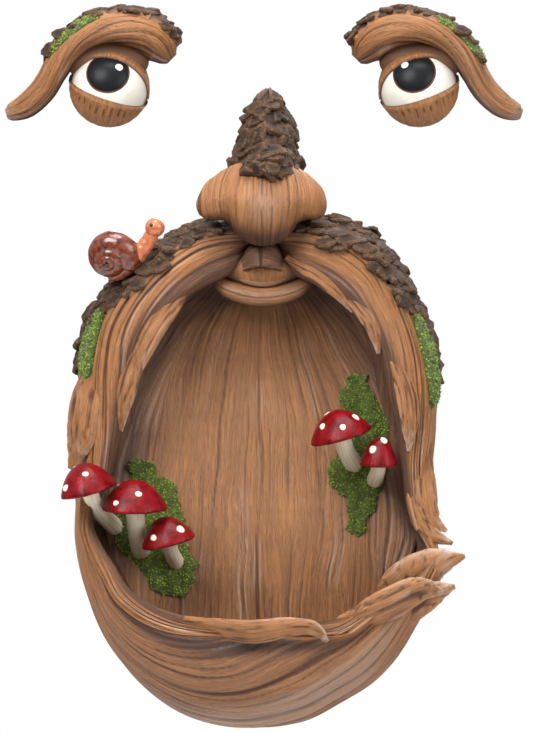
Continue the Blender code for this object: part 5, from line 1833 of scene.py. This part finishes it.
@paint_named("eyeball_look")
def eyeball_paint(scene, tree, shader):
    """A soiled white, a brown ring and a duller black, by the values at each point."""
    settings = scene.tree_face_eyes
    soiled = tuple(c * 0.86 for c in settings.white)
    patch = band(tree, cloud(tree, 140.0, 3.0), 0.4, 0.8)
    white = blend(tree, patch, colour(settings.white), colour(soiled))
    ring = blend(tree, attribute(tree, "ring"), white, IRIS_RING_PAINT)
    dark = attribute(tree, "dark")
    ball = blend(tree, dark, ring, colour(settings.black))
    rough = plus(tree, 0.2, times(tree, dark, 0.12))
    specular = sums(tree, "SUBTRACT", 0.5, times(tree, dark, 0.38))
    set_inputs(tree, shader, Base_Color=ball, Roughness=rough, Specular_IOR_Level=specular)


def eyeball(name, centre, side, scene):
    """A white ball with a black iris, a fine brown ring round it, and a white glint."""
    settings = scene.tree_face_eyes
    iris, glint = settings.iris_radius / MM, settings.glint_radius / MM
    white, brown, black = ({"ring": r, "dark": d} for r, d in ((0.0, 0.0), (1.0, 0.0), (1.0, 1.0)))
    middle, iris_at = (*centre, EYE_FORWARD), IRIS_AT[side]
    shells = [
        ball_shell(middle, (BALL_RADIUS,) * 3, white, rows=56, columns=84, back=EYE_PLATE - 0.5),
        lens(centre, iris_at, BALL_RADIUS, iris + 0.35, 0.14, brown),
        lens(centre, iris_at, BALL_RADIUS, iris, 0.3, black),
        lens(centre, GLINT_AT[side], BALL_RADIUS + 0.15, glint, 0.4, white),
    ]
    return made_piece(name, shells, [eyeball_paint(scene)])


# Operators and the stage


def flakes_over(name, shells, scene, seed, larger=1.0, ceiling=1.0):
    """Loose plates of bark over the parts of the shells that are marked as bark, clear of the back
    plane and below a ceiling."""
    settings = scene.tree_face_bark
    ground = made_piece(name + "_ground", shells, [])
    bm = bmesh.new()
    bm.from_mesh(ground.data)
    layer = bm.verts.layers.float["bark"]
    bare = []
    for face in bm.faces:
        middle = face.calc_center_median()
        off_side = middle.y > -PLATES_FROM_BACK * MM or middle.z > ceiling
        if off_side or len(face.verts) > 4 or min(v[layer] for v in face.verts) < 0.55:
            bare.append(face)
    bmesh.ops.delete(bm, geom=bare, context="FACES")
    bm.to_mesh(ground.data)
    bm.free()
    return strew(
        name, ground, pile("Bark plates", bark_flakes), bark_paint(scene),
        Spacing=settings.spacing * larger, Density=90000.0,
        Smallest=settings.plate_size * larger * 0.5, Largest=settings.plate_size * larger,
        Lean=-0.12, Lean_Spread=0.08, Turn_Spread=0.4, Seed=seed,
    )


class MouthMaker(bpy.types.Operator):
    """Carve the moustache, nose, lips, bowl and the dished back of the mouth"""

    bl_idname = "tree_face.mouth"
    bl_label = "Carve Mouth and Bowl"

    def execute(self, context):
        scene = context.scene
        depth = scene.tree_face_carving.depth
        paint = casting_paint(scene)
        ring, bark = arch_and_bowl(depth), nose_bark(depth)
        placed(made_piece("mouth_bowl", [ring], [paint]), "painted_resin", "mouth_bowl")
        placed(made_piece("mouth_back", [back_of_mouth(depth)], [paint]), "painted_resin")
        face = [nose(depth), lip(*LOWER_LIP, 7), lip(*UPPER_LIP, 9), lip_bed()]
        placed(made_piece("nose_and_lips", face, [paint]), "painted_resin")
        bridge = with_keyhole(made_piece("nose_bark", [bark], [paint]), 0, MOUTH_HOLE_HEIGHT)
        placed(bridge, "painted_resin")
        ends = [strand(spine, 11 * i, depth) for i, spine in enumerate(STRANDS.values())]
        placed(made_piece("strand_ends", ends, [paint]), "painted_resin")
        placed(flakes_over("mouth_plates", [ring], scene, 3), "painted_resin")
        plates = flakes_over("nose_plates", [bark], scene, 8, ceiling=BRIDGE_PLATES_TOP * MM)
        placed(plates, "painted_resin")
        return {"FINISHED"}


class EyesMaker(bpy.types.Operator):
    """Carve the two eyes with their lids and brows"""

    bl_idname = "tree_face.eyes"
    bl_label = "Carve Eyes"

    def execute(self, context):
        scene = context.scene
        depth = scene.tree_face_carving.depth
        (across, up, forward), radii = SOCKET
        for side, centre, mirror, seed in (("left", LEFT_EYE_AT, 1, 5), ("right", RIGHT_EYE_AT, -1, 9)):
            middle = (centre[0] + mirror * across, centre[1] + up, forward)
            # The wash darkens the bed and the plate behind the eyeball: painted shade.
            plain = {"cut": 0.0, "wash": 0.85, "rub": 0.0, "bark": 0.0}
            bed = ball_shell(middle, radii, plain, back=EYE_PLATE - 0.5)
            disc = (EYE_RADIUS - 0.2,) * 3
            plate = ball_shell((*centre, EYE_FORWARD), disc, plain, front=EYE_PLATE)
            plate = made_piece(f"{side}_plate", [plate], [casting_paint(scene)])
            plate = with_keyhole(plate, centre[0], centre[1] + EYE_HOLE_HEIGHT)
            hair = brow(centre, mirror, seed * 3, depth)
            lids = [
                lid(centre, mirror, UPPER_LID, 176, seed + 40, False, depth),
                lid(centre, mirror, -176, LOWER_LID, seed + 60, True, depth),
            ]
            piece = made_piece(f"{side}_eye", [bed, hair, *lids], [casting_paint(scene)])
            plates = flakes_over(f"{side}_brow_plates", [hair], scene, seed, 0.75)
            ball = eyeball(f"{side}_eyeball", centre, side, scene)
            piece = joined(piece, plate, plates)
            placed(piece, "painted_resin", f"{side}_eye")
            placed(ball, "painted_resin")
        return {"FINISHED"}


class MossMaker(bpy.types.Operator):
    """Lay moss in the mouth, on the arch and on the brows"""

    bl_idname = "tree_face.moss"
    bl_label = "Lay Moss"

    def execute(self, context):
        scene = context.scene
        tree = tree_of("mouth_bowl")
        pads = {
            "moss_left_hollow": pad_in_hollow(MOSS_LEFT_HOLLOW, tree, 21),
            "moss_right_hollow": pad_in_hollow(MOSS_RIGHT_HOLLOW, tree, 22),
            "moss_left_arch": pad_on_arch(MOSS_LEFT_ARCH, 23),
            "moss_right_arch": pad_on_arch(MOSS_RIGHT_ARCH, 24),
            "moss_left_brow": pad_on_brow(LEFT_EYE_AT, 1, (0.36, 0.57), (14, 66), 25),
            "moss_right_brow": pad_on_brow(RIGHT_EYE_AT, -1, (0.33, 0.57), (6, 62), 26),
        }
        for name, pad in pads.items():
            placed(mossy(name, [pad], scene), "moss", name)
        return {"FINISHED"}


class ToadstoolMaker(bpy.types.Operator):
    """Grow the five toadstools in the mouth"""

    bl_idname = "tree_face.toadstools"
    bl_label = "Grow Toadstools"

    def execute(self, context):
        tree = tree_of("mouth_bowl")
        for seed, (name, shape) in enumerate(TOADSTOOLS.items()):
            toadstool(name, shape, tree, context.scene, seed + 1)
        return {"FINISHED"}


class SnailMaker(bpy.types.Operator):
    """Set the snail on the moustache"""

    bl_idname = "tree_face.snail"
    bl_label = "Set Snail"

    def execute(self, context):
        scene = context.scene
        shells = [snail_shell_coil(scene.tree_face_snail.turns), *snail_body()]
        placed(made_piece("snail", shells, [snail_paint(scene)]), "snail_glaze", "snail")
        return {"FINISHED"}


class StageMaker(bpy.types.Operator):
    """Set the floor, the lights and the camera"""

    bl_idname = "tree_face.stage"
    bl_label = "Set Stage"

    def execute(self, context):
        scene = context.scene
        settings = scene.tree_face_stage
        low, high = (Vector(corner) for corner in CAD_BOX)
        middle = (low + high) / 2
        floor = stage_floor(low.z - settings.floor)
        lamps = [soft_light(name, settings.key, middle) for name in LIGHTS]
        data = bpy.data.cameras.new("photo_view")
        data.sensor_fit = "VERTICAL"
        data.sensor_height = 24.0
        data.lens = data.sensor_height * settings.distance / VIEW_HEIGHT
        data.clip_start, data.clip_end = 0.05, 20.0
        camera = added("photo_view", data)
        camera.location = (AIM[0], -settings.distance, AIM[1])
        camera.rotation_euler = (math.radians(90), 0, 0)
        scene.camera = camera
        scene.world = studio_world(settings.sky)
        scene.view_settings.view_transform = "Standard"
        return {"FINISHED"}


def tree_of(name):
    """A tree to cast rays at, from a piece that nothing has moved."""
    mesh = bpy.data.objects[name].data
    faces = [tuple(face.vertices) for face in mesh.polygons]
    return BVHTree.FromPolygons([v.co[:] for v in mesh.vertices], faces)


def studio_world(strength):
    """White behind the object, and a softer light on it that is weaker from below."""
    world = bpy.data.worlds.new("studio")
    world.use_nodes = True
    tree = world.node_tree
    lit, seen = tree.nodes["Background"], tree.nodes.new("ShaderNodeBackground")
    for background in (lit, seen):
        set_inputs(tree, background, Color=(1, 1, 1, 1))
    split = tree.nodes.new("ShaderNodeSeparateXYZ")
    link(tree, tree.nodes.new("ShaderNodeTexCoord").outputs["Generated"], split.inputs[0])
    above = band(tree, split.outputs[2], -0.7, 0.8)
    link(tree, times(tree, plus(tree, 0.12, above), strength * 1.5), lit.inputs["Strength"])
    either = tree.nodes.new("ShaderNodeMixShader")
    link(tree, tree.nodes.new("ShaderNodeLightPath").outputs["Is Camera Ray"], either.inputs[0])
    link(tree, lit.outputs[0], either.inputs[1])
    link(tree, seen.outputs[0], either.inputs[2])
    link(tree, either.outputs[0], tree.nodes["World Output"].inputs["Surface"])
    return world


@paint_named("floor_look")
def floor_paint(scene, tree, shader):
    set_inputs(tree, shader, Base_Color=FLOOR_PAINT, Roughness=0.6)


def stage_floor(height):
    bm = bmesh.new()
    bmesh.ops.create_circle(bm, cap_ends=True, segments=96, radius=0.6)
    mesh = mesh_from(bm, "floor")
    mesh.transform(Matrix.Translation((0, -0.05, height)))
    mesh.materials.append(floor_paint(bpy.context.scene))
    return added("floor", mesh)


# Place in metres, width in metres, and share of the key light's power.
LIGHTS = {
    "key": ((-0.75, -1.2, 0.95), 1.0, 1.0),
    "fill": ((1.1, -1.0, 0.35), 1.1, 0.38),
    "top": ((0.1, -0.35, 1.3), 0.8, 0.55),
    "back": ((0.3, 1.2, 0.8), 1.0, 0.4),
}


def soft_light(name, power, target):
    """A round area light that faces the target."""
    place, size, share = LIGHTS[name]
    data = bpy.data.lights.new(name, "AREA")
    data.shape = "DISK"
    data.size = size
    data.energy = power * share
    lamp = added(name, data)
    lamp.location = place
    lamp.rotation_euler = (target - Vector(place)).to_track_quat("-Z", "Y").to_euler()
    return lamp


class TreeFacePanel(bpy.types.Panel):
    bl_label = "Tree Face"
    bl_idname = "VIEW3D_PT_tree_face"
    bl_space_type = "VIEW_3D"
    bl_region_type = "UI"
    bl_category = "Tree Face"

    def draw(self, context):
        for title, name, group, operator in SECTIONS:
            box = self.layout.box()
            box.label(text=title)
            for setting in group.__annotations__:
                box.prop(getattr(context.scene, name), setting)
            if operator:
                box.operator(operator.bl_idname)


# The panel's sections: title, the scene's settings, their class, and the operator that uses them.
SECTIONS = (
    ("Carving", "tree_face_carving", CarvingSettings, MouthMaker),
    ("Bark", "tree_face_bark", BarkSettings, None),
    ("Eyes", "tree_face_eyes", EyeSettings, EyesMaker),
    ("Moss", "tree_face_moss", MossSettings, MossMaker),
    ("Toadstools", "tree_face_toadstools", ToadstoolSettings, ToadstoolMaker),
    ("Snail", "tree_face_snail", SnailSettings, SnailMaker),
    ("Stage", "tree_face_stage", StageSettings, StageMaker),
)


def register():
    for _, name, group, operator in SECTIONS:
        bpy.utils.register_class(group)
        setattr(bpy.types.Scene, name, PointerProperty(type=group))
        if operator:
            bpy.utils.register_class(operator)
    bpy.utils.register_class(TreeFacePanel)


def unregister():
    bpy.utils.unregister_class(TreeFacePanel)
    for _, name, group, operator in reversed(SECTIONS):
        if operator:
            bpy.utils.unregister_class(operator)
        delattr(bpy.types.Scene, name)
        bpy.utils.unregister_class(group)


def main():
    """Builds the pieces from the settings' defaults, and stages them."""
    register()
    bpy.ops.tree_face.mouth()
    bpy.ops.tree_face.eyes()
    bpy.ops.tree_face.moss()
    bpy.ops.tree_face.toadstools()
    bpy.ops.tree_face.snail()
    bpy.ops.tree_face.stage()


if __name__ == "__main__":
    main()
